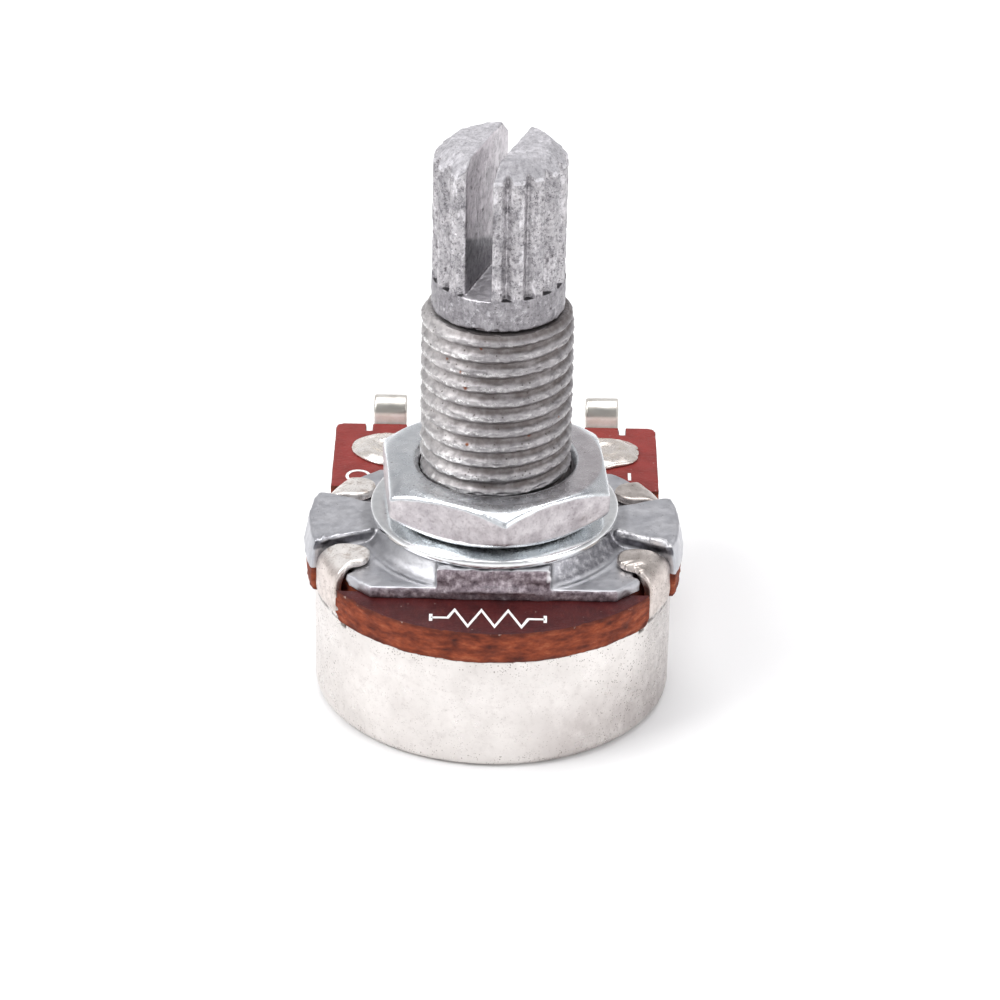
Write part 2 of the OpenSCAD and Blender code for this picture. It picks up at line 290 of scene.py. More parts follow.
# ------------------------------------------------------------------ casting
def casting_base():
    ax = axes((-8.98, -5.95, 5.35), (8.98, 5.95, 9.7), 0.075)
    X, Y, Z = xyz(ax)
    R = np.sqrt(X * X + Y * Y)
    h = 5.65
    outline = [(-5.5, -h), (5.55, -h), (6.68, -h + 1.15), (7.8, -h + 3.1), (7.8, h - 3.1), (6.68, h - 1.15),
               (5.55, h), (-5.5, h), (-6.68, h - 1.15), (-7.8, h - 3.1), (-7.8, -h + 3.1), (-6.68, -h + 1.15)]
    x2, y2 = ax[0][:, None], ax[1][None, :]
    p2 = poly2(x2, y2, outline)
    rr = np.sqrt(x2 * x2 + y2 * y2)
    room = np.maximum(7.27 - rr, poly2(np.abs(x2), np.abs(y2), [(9.5, 4.71), (7.1, 4.71), (6.64, 4.47), (6.35, 4.2),
                                                                (6.35, 2.3), (9.5, 2.3)]))
    p2 = smax(p2, -room, 0.12)[:, :, None]
    # a cut edge: wavy along its run and torn through its thickness
    tear = noise(ax, (0.55, 0.55, 0.25), 3) * 0.035 + noise(ax, (0.22, 0.22, 0.16), 4) * 0.022
    plate = ext(p2 + tear, np.abs(Z - (TOP_Z + PLATE_T / 2)) - PLATE_T / 2, 0.07)
    # boss that flares out into the plate
    cone = (R - (5.85 - 0.65 * (Z - TOP_Z - PLATE_T) / 0.99)) * 0.84
    boss = smax(cone, np.abs(Z - (TOP_Z + 0.5 + (SEAT_Z - TOP_Z - 0.5) / 2)) - (SEAT_Z - TOP_Z - 0.5) / 2, 0.1)
    d = smin(plate, boss, 0.42)
    ring = np.sqrt((R - 6.22) ** 2 + (Z - TOP_Z - PLATE_T + 0.05) ** 2) - 0.1
    ring = np.maximum(ring, p2 + 0.25)
    d = smin(d, ring, 0.06)
    for s in (-1, 1):
        lo = (-2.55, -5.66 if s < 0 else 2.0, TOP_Z)
        hi = (2.6, -2.0 if s < 0 else 5.66, SEAT_Z)
        rough = noise(ax, (0.5, 0.5, 0.3), 7 + s) * 0.05 + noise(ax, (0.2, 0.2, 0.2), 9 + s) * 0.035
        d = smin(d, box3(X, Y, Z, lo, hi, 0.1) + rough * (np.abs(Y) > 5.2), 0.12)
    for s in (-1, 1):
        w2 = poly2(x2, y2, [(s * 3, -0.8), (s * 5.6, -1.33), (s * 9.5, -3.0),
                            (s * 9.5, 2.3), (s * 7.9, 2.3), (s * 5.6, 1.38), (s * 3, 0.8)])[:, :, None]
        w2 = w2 + 0.16 * (Z - TOP_Z - WING_T) / WING_T * (Y < 0)
        side = R - (8.74 - 0.22 * (Z - TOP_Z) / WING_T)
        low = np.where(R > 8.3, 7.06, 7.2)          # the wing's rim laps over the board's edge
        burr = noise(ax, (0.4, 0.4, 0.3), 21 + s) * 0.03 + noise(ax, (0.16, 0.16, 0.16), 24 + s) * 0.012
        wing = ext(smax(w2, side, 0.08) + burr, np.maximum(Z - TOP_Z - WING_T, low - Z), 0.09)
        # metal pushed up along the front edge, more of it on the right
        high, wide = (0.2, 0.15) if s > 0 else (0.09, 0.1)
        lip = np.maximum(np.abs(w2 + wide - 0.03) - wide, np.abs(Z - TOP_Z - WING_T + 0.02) - high)
        lip = np.maximum(np.maximum(lip, side + 0.3), 5.6 - np.abs(X)) + noise(ax, (0.3, 0.3, 0.3), 27 + s) * 0.07
        wing = smin(wing, np.maximum(lip, Y), 0.1)
        d = smin(d, wing, 0.12)
    hub = smax(R - 3.2, np.abs(Z - 8.2) - 1.25, 0.05)
    spigot = smax(R - 4.0, np.abs(Z - 6.9) - 1.4, 0.08)
    d = np.minimum(np.minimum(d, hub), spigot)
    d = smax(d, 2.6 - R, 0.05)
    d = d + noise(ax, 0.9, 30) * 0.012 + noise(ax, 0.3, 31) * 0.006
    d = np.maximum(d, 5.5 - Z)
    return thin(nets(d, ax), 80000)


def thread():
    nt, nz = 210, 262
    z = np.linspace(9.1, BUSH_TOP, nz)
    t = np.arange(nt) * 2 * math.pi / nt
    T, Zg = np.meshgrid(t, z, indexing="ij")
    ph = (Zg - 17.695) / 0.75 - T / (2 * math.pi)
    ph = np.abs(ph - np.round(ph)) * 2
    g = np.clip((ph - 0.20) / 0.70, 0, 1)
    g = 0.35 * g + 0.65 * g * g * (3 - 2 * g)
    rng = np.random.default_rng(11)

    def wave(nu, nv):
        a = rng.uniform(-1, 1, (nu, nv))
        u = T / (2 * math.pi) * nu
        v = (Zg - z[0]) / (z[-1] - z[0]) * (nv - 1.001)
        i, j = np.floor(u).astype(int), np.floor(v).astype(int)
        fu, fv = u - i, v - j
        fu, fv = fu * fu * (3 - 2 * fu), fv * fv * (3 - 2 * fv)
        return (a[i % nu, j] * (1 - fu) * (1 - fv) + a[(i + 1) % nu, j] * fu * (1 - fv)
                + a[i % nu, j + 1] * (1 - fu) * fv + a[(i + 1) % nu, j + 1] * fu * fv)

    crest = 1 - g
    nick = np.clip(wave(70, 90) - 0.35, 0, 1) * 0.13 * crest
    rough = wave(100, 124) * 0.026 + wave(40, 60) * 0.018
    r = THREAD_R - 0.015 - 0.21 * g - nick + rough * (0.5 + 0.8 * crest)
    end = THREAD_R - np.clip(Zg - 18.95, 0, 1) * 0.85
    r = np.minimum(r, end + rough * 0.6)
    P = np.stack([r * np.cos(T), r * np.sin(T), Zg], -1)
    outer = sheet_grid(P, True)
    # flat end and bore
    ring_r = [3.17, 3.05, 2.75, 2.6, 2.55, 2.54]
    ring_z = [19.29, 19.295, 19.29, 19.285, 19.25, 19.2]
    edge = np.stack([P[:, -1, 0], P[:, -1, 1]], -1)
    rows = [np.concatenate([edge * (rr / np.linalg.norm(edge, axis=1))[:, None], np.full((nt, 1), zz)], 1)
            for rr, zz in zip(ring_r, ring_z)]
    cap = sheet_grid(np.stack([P[:, -1]] + rows, 1), True)
    bore = lathe([(BORE_R, 19.2), (BORE_R, 12.0), (BORE_R, 5.6), (BORE_R, 5.5), (2.62, 5.5), (3.1, 5.52), (3.1, 9.1)], nt)
    low = sheet_grid(np.stack([np.stack([3.1 * np.cos(t), 3.1 * np.sin(t), np.full(nt, 9.1)], -1), P[:, 0]], 1), True)
    return join(outer, cap, bore, low)


# ------------------------------------------------------------------ shaft
def shaft_head():
    ax = axes((-3.15, -3.15, COLLAR_Z - 0.12), (3.15, 3.15, SHAFT_TOP + 0.1), 0.052)
    X, Y, Z = xyz(ax)
    R = np.sqrt(X * X + Y * Y) + 1e-6
    T = np.arctan2(X, -Y) * 180 / math.pi          # from the front, towards +X
    w = (T - 7.0 + 10.0) % 20.0 - 10.0
    w = np.abs(w) * (math.pi / 180) * 3.0
    body = smax(R - 3.0, COLLAR_Z - Z, 0.12)
    top = SHAFT_TOP - np.clip((R - 2.2) / 0.8, 0, 1) * 0.67 - 0.06 * np.clip((R - 1.9) / 1.0, 0, 1)
    lump = noise(ax, (0.7, 0.7, 0.7), 41) * 0.03 + noise(ax, 0.28, 42) * 0.026
    body = smax(body, (Z - top) * 0.78 + lump, 0.14)
    depth = 0.33 * np.clip(1 - w / 0.33, 0, 1)
    groove = smax((3.0 - depth - R) * 0.75, KNURL_Z - 0.05 - Z, 0.03)
    d = smax(body, -groove, 0.03)
    c, s = math.cos(math.radians(SLOT_TURN)), math.sin(math.radians(SLOT_TURN))
    U = X * c + Y * s                               # across the slot
    slot = smax(np.abs(U) - SLOT_W / 2 + noise(ax, (0.9, 0.9, 0.5), 43) * 0.012, KNURL_Z - 0.08 - Z, 0.06)
    d = smax(d, -slot, 0.09)
    # burr along the left lip of the slot, pushed up by the saw
    lip = np.sqrt((U + SLOT_W / 2 + 0.05) ** 2 + (Z - SHAFT_TOP + 0.03) ** 2) - 0.06
    lip = np.maximum(lip, R - 1.55) + noise(ax, 0.3, 44) * 0.04
    d = smin(d, lip, 0.1)
    grain = noise(ax, 0.16, 45) * 0.016 + noise(ax, 0.33, 46) * 0.018
    pits = np.clip(noise(ax, 0.21, 47) - 0.5, 0, 1) * 0.2
    inner = (np.abs(U) < SLOT_W / 2 + 0.12) & (Z > KNURL_Z)
    d = d + (grain + pits * (Z < 26.4)) * np.where(inner, 0.35, 1.0)
    d = np.maximum(d, COLLAR_Z - 0.02 - Z)
    return thin(nets(d, ax), 172000)


def shaft_stem():
    main = lathe([(0.0, 4.9), (2.45, 4.9), (2.5, 4.92), (2.5, 4.98), (2.0, 4.98), (2.0, 5.44), (2.5, 5.44), (2.5, 6.0),
                  (2.5, 12.0), (2.5, 19.0), (2.5, 19.9), (0.0, 19.9)], 64)
    n = 64
    a = np.arange(n) * 2 * math.pi / n
    r = np.minimum(2.1, np.where(np.sin(a) > 0.05, 1.302 / np.maximum(np.sin(a), 0.05), 9.0))
    rows = []
    for k, z in ((0.0, 1.5), (0.93, 1.5), (1.0, 1.6), (1.0, 4.95), (0.0, 4.95)):
        rows.append(np.stack([r * k * np.cos(a), r * k * np.sin(a), np.full(n, z)], -1))
    return join(main, sheet_grid(np.stack(rows, 1), True))


# ------------------------------------------------------------------ nut, washer
def nut():
    ax = axes((-5.95, -5.95, NUT_Z - 0.08), (5.95, 5.95, NUT_Z + NUT_H + 0.08), 0.062)
    X, Y, Z = xyz(ax)
    R = np.sqrt(X * X + Y * Y)
    x2, y2 = ax[0][:, None], ax[1][None, :]
    hexd = np.full((len(ax[0]), len(ax[1])), -9, F4)
    for k in range(6):
        a = math.radians(-90 + 5 + 30 + 60 * k)
        hexd = smax(hexd, x2 * math.cos(a) + y2 * math.sin(a) - 5.0, 0.1)
    hexd = hexd[:, :, None] + noise(ax, (1.4, 1.4, 0.8), 51) * 0.025 + noise(ax, (0.4, 0.4, 0.3), 52) * 0.012
    d = smax(hexd, np.abs(Z - NUT_Z - NUT_H / 2) - NUT_H / 2, 0.1)
    up = (Z - (NUT_Z + NUT_H) + (R - 4.94) * math.tan(math.radians(30))) * 0.866
    dn = (NUT_Z - Z + (R - 4.45) * math.tan(math.radians(30))) * 0.866
    d = smax(smax(d, up, 0.2), dn, 0.2)
    hole = R - 3.5
    hole = np.minimum(hole, (R - 3.5 - np.clip(Z - (NUT_Z + NUT_H) + 0.28, 0, 1)) * 0.72)
    hole = np.minimum(hole, (R - 3.5 - np.clip(NUT_Z + 0.28 - Z, 0, 1)) * 0.72)
    d = smax(d, -hole, 0.07)
    d = d + noise(ax, 0.35, 53) * 0.005
    d = np.maximum(d, NUT_Z + 0.005 - Z)
    return thin(nets(d, ax), 150000)


def washer():
    z0, z1, ri, ro = SEAT_Z, SEAT_Z + WASH_T, 3.6, 5.7
    prof = [(ri, z0 + 0.1), (ri + 0.03, z0 + 0.02), (ri + 0.1, z0), (ri + 0.2, z0), (ro - 0.3, z0), (ro - 0.14, z0 + 0.01),
            (ro - 0.05, z0 + 0.05), (ro - 0.01, z0 + 0.11), (ro, z0 + 0.17), (ro, z1 - 0.17), (ro - 0.012, z1 - 0.11),
            (ro - 0.05, z1 - 0.05), (ro - 0.13, z1 - 0.012), (ro - 0.24, z1), (ro - 0.4, z1), (4.6, z1), (ri + 0.2, z1),
            (ri + 0.1, z1), (ri + 0.03, z1 - 0.02), (ri, z1 - 0.1), (ri, z0 + 0.1)]
    return lathe(prof, 256)


# ------------------------------------------------------------------ can
def sheet_path(R, Z):
    """Distance to the middle of the tab's sheet: out past the wall, round the bend, in over the plate."""
    mid = TAB_R - 0.2
    t = np.clip((Z - 4.75) / 1.6, 0, 1)
    out = 8.05 + (mid - 8.05) * t * t * (3 - 2 * t)
    d = np.where(Z < 7.13, np.abs(R - out), np.abs(np.sqrt((R - mid + 0.95) ** 2 + (Z - 7.13) ** 2) - 0.95))
    return np.where((R < mid - 0.95) & (Z > 6.2), np.abs(Z - 8.08), d)


def can():
    flat = axes((-8.68, -8.42, 0.0), (8.68, 8.42, 0.1), 0.074)
    ax = [flat[0], flat[1], np.concatenate([np.arange(-0.12, 4.3, 0.12), np.arange(4.3, 8.45, 0.07)]).astype(F4)]
    X, Y, Z = xyz(ax)
    R = np.sqrt(X * X + Y * Y)
    a, b = R - CAN_R, np.broadcast_to(-Z, (1, 1, len(ax[2])))
    rr = 0.45
    out = np.minimum(np.maximum(a + rr, b + rr), 0) + np.sqrt(np.maximum(a + rr, 0) ** 2 + np.maximum(b + rr, 0) ** 2) - rr
    inn = smax(R - (CAN_R - SHEET), SHEET - Z, 0.2)
    ring = smax(np.maximum(out, -inn), Z - CAN_H, 0.1)
    # pressed stop
    stop = box3(X, Y, Z, (-2.1, 6.0, 0.0), (2.1, 7.6, 2.2), 0.2)
    ring = smin(ring, np.maximum(stop, -Z), 0.2)
    ring = smax(ring, -box3(X, Y, Z, (-1.7, 6.4, -0.5), (1.7, 7.3, 1.6), 0.15), 0.15)
    AX, AY = np.abs(X), np.abs(Y)
    gap = np.maximum(np.maximum(np.abs(AY - TAB_F - 0.12) - 0.12, 6.0 - AX), 5.27 - Z)
    gap = np.minimum(gap, np.maximum(np.maximum(np.abs(AY - TAB_B + 0.12) - 0.11, 7.0 - AX), 5.27 - Z))
    ring = smax(ring, -gap, 0.06)
    back = np.maximum(np.maximum(AX - 6.2, 3.0 - Y), 4.91 - Z)
    ring = smax(ring, -back, 0.1)
    x2, y2 = np.abs(ax[0])[:, None], np.abs(ax[1])[None, :]
    plan = poly2(x2, y2, [(9.4, TAB_F), (7.15, TAB_F), (6.7, 4.35), (6.45, 4.05), (6.45, 2.35), (6.95, 2.35),
                          (7.6, TAB_B), (9.4, TAB_B)])
    tip = np.sqrt((x2 - 6.45) ** 2 + (y2 - 3.2) ** 2) - 0.86
    plan = smin(plan, tip, 0.15)[:, :, None]
    worn = noise(ax, (0.5, 0.5, 0.5), 64) * 0.03
    tab = smax(smax(sheet_path(R, Z) - 0.2, plan + worn, 0.12), 4.62 - Z, 0.1)
    # the punch left steps in the front bend of the right tab
    step = np.clip((AY - 3.35) / 0.5, 0, 1) * np.clip((6.95 - AX) / 0.4, 0, 1) * (X > 0) * (Y < 0) * (Z > 8.0)
    tab = tab + step * (0.035 + 0.035 * np.sign(np.sin((AY * 1.0 + AX * 0.5) * 17.0)))
    tab = tab + noise(ax, (0.8, 0.8, 0.8), 61) * 0.03 * (Z > 6.2)
    d = smin(ring, tab, 0.05)
    d = d + noise(ax, 0.4, 62) * 0.005
    d = np.maximum(d, -Z)
    return thin(nets(d, ax), 184000)


# ------------------------------------------------------------------ board
def board():
    ax = axes((-8.85, -8.85, 5.6), (8.85, 11.6, 7.4), 0.083)
    X, Y, Z = xyz(ax)
    x2, y2 = ax[0][:, None], ax[1][None, :]
    rr = np.sqrt(x2 * x2 + y2 * y2)
    tail = poly2(x2, y2, [(-7.37, 0), (7.37, 0), (7.37, TAIL_Y - 0.4), (-7.37, TAIL_Y - 0.4)]) - 0.4
    p = np.minimum(rr - BOARD_R, tail)
    p = np.maximum(p, 4.03 - rr)
    for x in (-PITCH, 0, PITCH):
        for s in (-1, 1):
            p = np.maximum(p, -np.maximum(np.abs(x2 - x - s * 1.0) - 0.15, TAIL_Y - 0.75 - y2))
        p = np.maximum(p, 0.9 - np.sqrt((x2 - x) ** 2 + (y2 - RIVET_Y) ** 2))
    room = np.maximum(np.maximum(7.79 - rr, np.abs(np.abs(y2) - 3.675) - 1.275), 5.9 - np.abs(x2))
    p = np.maximum(p, -room)[:, :, None]
    # punched edge: torn fibre layers
    fibre = noise(ax, (0.5, 0.5, 0.14), 71) * 0.045 + noise(ax, (0.2, 0.2, 0.11), 72) * 0.04 + noise(ax, (1.3, 1.3, 0.5), 73) * 0.04
    fibre = fibre + 0.05 * np.clip((6.6 - Z) / 0.9, 0, 1)
    outer = p + np.clip(fibre, -0.02, 0.2) * (0.15 + 0.85 * (Y < 3.5))
    d = ext(outer, np.abs(Z - (CAN_H + TOP_Z) / 2) - (TOP_Z - CAN_H) / 2, 0.04)
    lap = np.maximum(np.maximum(np.abs(Y) - 2.75, 8.28 - np.sqrt(X * X + Y * Y)), 7.05 - Z)
    d = np.maximum(d, -lap)
    chip = np.clip(noise(ax, (0.3, 0.3, 0.3), 75) - 0.5, 0, 1) * 0.28 * ((Z > 7.12) & (p > -0.25))
    d = d + chip
    return thin(nets(d, ax), 120000)


def strokes(lines, width, z, high):
    """Thin raised print: a flat ribbon of the given width along each run of points."""
    out = []
    for pts in lines:
        p = np.array(pts, float)
        n = len(p)
        seg = np.diff(p, axis=0)
        seg /= np.linalg.norm(seg, axis=1)[:, None]
        nor = np.stack([-seg[:, 1], seg[:, 0]], 1)
        m = np.vstack([nor[:1], nor[:-1] + nor[1:], nor[-1:]])
        m /= np.linalg.norm(m, axis=1)[:, None]
        k = np.ones(n)
        k[1:-1] = 1 / np.maximum(0.5, (m[1:-1] * nor[:-1]).sum(1))
        off = m * (width / 2) * k[:, None]
        L, Rr = p + off, p - off
        V = [np.c_[q, np.full(n, zz)] for q, zz in ((L, z), (L, z + high), (Rr, z + high), (Rr, z))]
        V = np.concatenate(V)
        Q = []
        for i in range(n - 1):
            for a, b in ((0, 1), (1, 2), (2, 3), (3, 0)):
                Q.append((a * n + i, a * n + i + 1, b * n + i + 1, b * n + i))
        Q += [(0, n, 2 * n, 3 * n), (4 * n - 1, 3 * n - 1, 2 * n - 1, n - 1)]
        out.append((V, Q))
    return join(*out)


def print_marks():
    """A zigzag resistor sign in front and, beside the tail's corners, an open ring and a bar."""
    x0, x1, y = -2.75, 2.35, -7.3
    zig = [(x0, y), (x0 + 0.75, y)]
    n = 6
    for i in range(n):
        zig.append((x0 + 0.75 + (i + 0.5) * (x1 - x0 - 1.5) / n, y + (0.72 if i % 2 == 0 else -0.72)))
    zig += [(x1 - 0.75, y), (x1, y)]
    ring = [(-6.5 + 0.53 * math.cos(a), 5.95 + 0.56 * math.sin(a)) for a in np.linspace(0.35, 2 * math.pi - 0.35, 26)]
    bar = [(6.4, 6.0), (6.4, 6.72)]
    ends = [[(x0 - 0.01, y - 0.3), (x0 - 0.01, y + 0.3)], [(x1 + 0.01, y - 0.3), (x1 + 0.01, y + 0.3)]]
    return strokes([zig, ring, bar] + ends, 0.15, TOP_Z + 0.002, 0.016)


# ------------------------------------------------------------------ terminals and rivets
def terminal(x, drop, seed):
    z0 = CAN_H - drop - 0.4
    ax = axes((x - 1.6, 7.05, z0 - 0.12), (x + 1.6, 13.15, 8.47), 0.056)
    X, Y, Z = xyz(ax)
    y0 = 11.55
    y3, z3 = ax[1][:, None], ax[2][None, :]
    # side view of the strip, as distances to its middle line
    low = np.where(y3 < y0 - 0.3, np.abs(z3 - z0 - 0.2), 9.0)
    bend = np.abs(np.sqrt((y3 - y0 + 0.3) ** 2 + (z3 - z0 - 0.7) ** 2) - 0.5)
    bend = np.where((y3 >= y0 - 0.3) & (z3 <= z0 + 0.7), bend, 9.0)
    leg = np.where((z3 > z0 + 0.7) & (z3 < 7.6) & (y3 < y0 + 0.75), np.abs(y3 - y0 - 0.2), 9.0)
    hook = np.where(z3 >= 7.6, np.abs(np.sqrt((y3 - y0 - 0.75) ** 2 + (z3 - 7.6) ** 2) - 0.55), 9.0)
    back = np.where((z3 < 7.6) & (y3 >= y0 + 0.75), np.abs(y3 - y0 - 1.3), 9.0)
    path = np.minimum(np.minimum(np.minimum(low, bend), np.minimum(leg, hook)), back) - 0.2
    path = np.maximum(path, np.where(y3 >= y0 + 0.75, 6.7 - z3, -9.0))
    strip = smax(path[None, :, :], np.abs(X - x) - 0.8, 0.1)
    strip = np.maximum(strip, RIVET_Y - Y)
    pad = smax(np.sqrt((X - x) ** 2 + (Y - RIVET_Y) ** 2) - 1.45, np.abs(Z - z0 - 0.2) - 0.2, 0.08)
    d = np.minimum(strip, pad)
    d = np.maximum(d, 0.9 - np.sqrt((X - x) ** 2 + (Y - RIVET_Y) ** 2))
    d = d + noise(ax, 0.5, seed) * 0.008
    return thin(nets(d, ax), 18000)


def rivet(x, seed, lobes):
    under = CAN_H - (0.5 if x == 0 else 0.45)
    ax = axes((x - 1.95, RIVET_Y - 1.95, 4.88), (x + 1.95, RIVET_Y + 1.95, 7.75), 0.056)
    X, Y, Z = xyz(ax)
    dx, dy = X - x, Y - RIVET_Y
    R = np.sqrt(dx * dx + dy * dy)
    T = np.arctan2(dy, dx)
    rng = np.random.default_rng(seed)
    edge = 1.48 + 0.36 * np.clip(np.cos(T) * np.sign(x), 0, 1) ** 4
    for k in lobes:
        edge = edge + 0.09 * np.cos(k * T + rng.uniform(0, 6.28))
    # petals of the split flare, pressed flat and a little dished
    cut = np.zeros(T.shape, F4)
    for k in range(5):
        a = rng.uniform(0, 6.28)
        dd = np.abs((T - a + math.pi) % (2 * math.pi) - math.pi) * R
        cut = np.maximum(cut, np.clip(1 - dd / 0.1, 0, 1) * np.clip((R - 0.95) / 0.5, 0, 1))
    top = TOP_Z + 0.30 - 0.17 * np.clip((R - 1.05) / 0.6, 0, 1) ** 1.5 - 0.10 * np.clip((0.8 - R) / 0.3, 0, 1)
    lump = noise(ax, (0.6, 0.6, 0.6), seed + 1) * 0.05 + noise(ax, 0.25, seed + 2) * 0.008
    flare = smax(R - edge - 0.04 + cut * 0.16, np.maximum((Z - top) + lump, TOP_Z + 0.0 - Z), 0.12)
    stem = smax(R - 0.88, np.abs(Z - (under + TOP_Z) / 2) - (TOP_Z - under) / 2 - 0.05, 0.02)
    foot = smax(R - 1.35, np.abs(Z - (4.95 + under) / 2) - (under - 4.95) / 2, 0.08)
    d = np.minimum(np.minimum(flare, stem), foot)
    hole = np.maximum(R - 0.5, Z - TOP_Z + 0.2)      # closed above by the pressed flare
    d = smax(d, -hole, 0.08)
    return thin(nets(d, ax), 22000)


# ------------------------------------------------------------------ materials
class Mat:
    """A metre-scale object reads as millimetres here, and every helper adds one small part of the shader."""

    def __init__(self, name, metallic=0.0, rough=0.5, spec=None, ior=None, coat=None):
        self.m = bpy.data.materials.new(name)
        self.m.use_nodes = True
        self.nt = self.m.node_tree
        self.nt.nodes.clear()
        out = self.nt.nodes.new("ShaderNodeOutputMaterial")
        self.b = self.nt.nodes.new("ShaderNodeBsdfPrincipled")
        self.nt.links.new(self.b.outputs[0], out.inputs[0])
        self.b.inputs["Metallic"].default_value = metallic
        self.b.inputs["Roughness"].default_value = rough
        if spec is not None:
            self.b.inputs["Specular IOR Level"].default_value = spec
        if ior is not None:
            self.b.inputs["IOR"].default_value = ior
        if coat is not None:
            self.b.inputs["Coat Weight"].default_value = coat[0]
            self.b.inputs["Coat Roughness"].default_value = coat[1]
        self.tc = self.nt.nodes.new("ShaderNodeTexCoord")
        self.normal = None
        self.mm = self.coords((1, 1, 1))

    def coords(self, scale, turn=(0, 0, 0)):
        mp = self.nt.nodes.new("ShaderNodeMapping")
        mp.inputs["Scale"].default_value = tuple(1000.0 * s for s in scale)
        mp.inputs["Rotation"].default_value = turn
        self.nt.links.new(self.tc.outputs["Object"], mp.inputs["Vector"])
        return mp.outputs[0]

    def noise(self, scale, detail=3.0, rough=0.55, vec=None, dist=0.0):
        n = self.nt.nodes.new("ShaderNodeTexNoise")
        n.inputs["Scale"].default_value = scale
        n.inputs["Detail"].default_value = detail
        n.inputs["Roughness"].default_value = rough
        n.inputs["Distortion"].default_value = dist
        self.nt.links.new(vec or self.mm, n.inputs["Vector"])
        return n.outputs["Fac"]

    def cells(self, scale, vec=None, feature="F1"):
        n = self.nt.nodes.new("ShaderNodeTexVoronoi")
        n.feature = feature
        n.inputs["Scale"].default_value = scale
        self.nt.links.new(vec or self.mm, n.inputs["Vector"])
        return n.outputs["Distance"]

    def math(self, op, a, b=None, c=None, clamp=False):
        n = self.nt.nodes.new("ShaderNodeMath")
        n.operation = op
        n.use_clamp = clamp
        for i, v in enumerate((a, b, c)):
            if v is None:
                continue
            if isinstance(v, (int, float)):
                n.inputs[i].default_value = v
            else:
                self.nt.links.new(v, n.inputs[i])
        return n.outputs[0]

    def span(self, v, a, b, lo=0.0, hi=1.0, smooth=True):
        n = self.nt.nodes.new("ShaderNodeMapRange")
        n.interpolation_type = "SMOOTHSTEP" if smooth else "LINEAR"
        self.nt.links.new(v, n.inputs["Value"])
        n.inputs["From Min"].default_value = a
        n.inputs["From Max"].default_value = b
        n.inputs["To Min"].default_value = lo
        n.inputs["To Max"].default_value = hi
        return n.outputs[0]

    def ramp(self, v, stops):
        n = self.nt.nodes.new("ShaderNodeValToRGB")
        e = n.color_ramp.elements
        e[0].position, e[0].color = stops[0][0], (*stops[0][1], 1)
        e[1].position, e[1].color = stops[-1][0], (*stops[-1][1], 1)
        for p, c in stops[1:-1]:
            k = e.new(p)
            k.color = (*c, 1)
        self.nt.links.new(v, n.inputs[0])
        return n.outputs[0]

    def mix(self, f, a, b):
        n = self.nt.nodes.new("ShaderNodeMix")
        n.data_type = "RGBA"
        n.clamp_factor = True
        self.nt.links.new(f, n.inputs[0])
        for i, v in ((6, a), (7, b)):
            if isinstance(v, tuple):
                n.inputs[i].default_value = (*v, 1)
            else:
                self.nt.links.new(v, n.inputs[i])
        return n.outputs[2]

    def pos(self):
        n = self.nt.nodes.new("ShaderNodeSeparateXYZ")
        self.nt.links.new(self.mm, n.inputs[0])
        return n.outputs

    def face(self):
        """Surface direction in the piece's own frame."""
        n = self.nt.nodes.new("ShaderNodeSeparateXYZ")
        self.nt.links.new(self.tc.outputs["Normal"], n.inputs[0])
        return n.outputs

    def color(self, c):
        self.nt.links.new(c, self.b.inputs["Base Color"])

    def rough(self, v):
        self.nt.links.new(v, self.b.inputs["Roughness"])

    def bump(self, h, dist, strength=1.0):
        n = self.nt.nodes.new("ShaderNodeBump")
        n.inputs["Distance"].default_value = dist * MM
        n.inputs["Strength"].default_value = strength
        self.nt.links.new(h, n.inputs["Height"])
        if self.normal:
            self.nt.links.new(self.normal, n.inputs["Normal"])
        self.normal = n.outputs[0]
        self.nt.links.new(self.normal, self.b.inputs["Normal"])


def specks(m, scale, size, keep):
    """Fine dark dots: 1 on a dot, 0 elsewhere."""
    dot = m.span(m.cells(scale), size * 0.6, size, 1.0, 0.0)
    area_ = m.span(m.noise(scale * 0.23, 2.0), keep, keep + 0.08)
    return m.math("MULTIPLY", dot, area_, clamp=True)


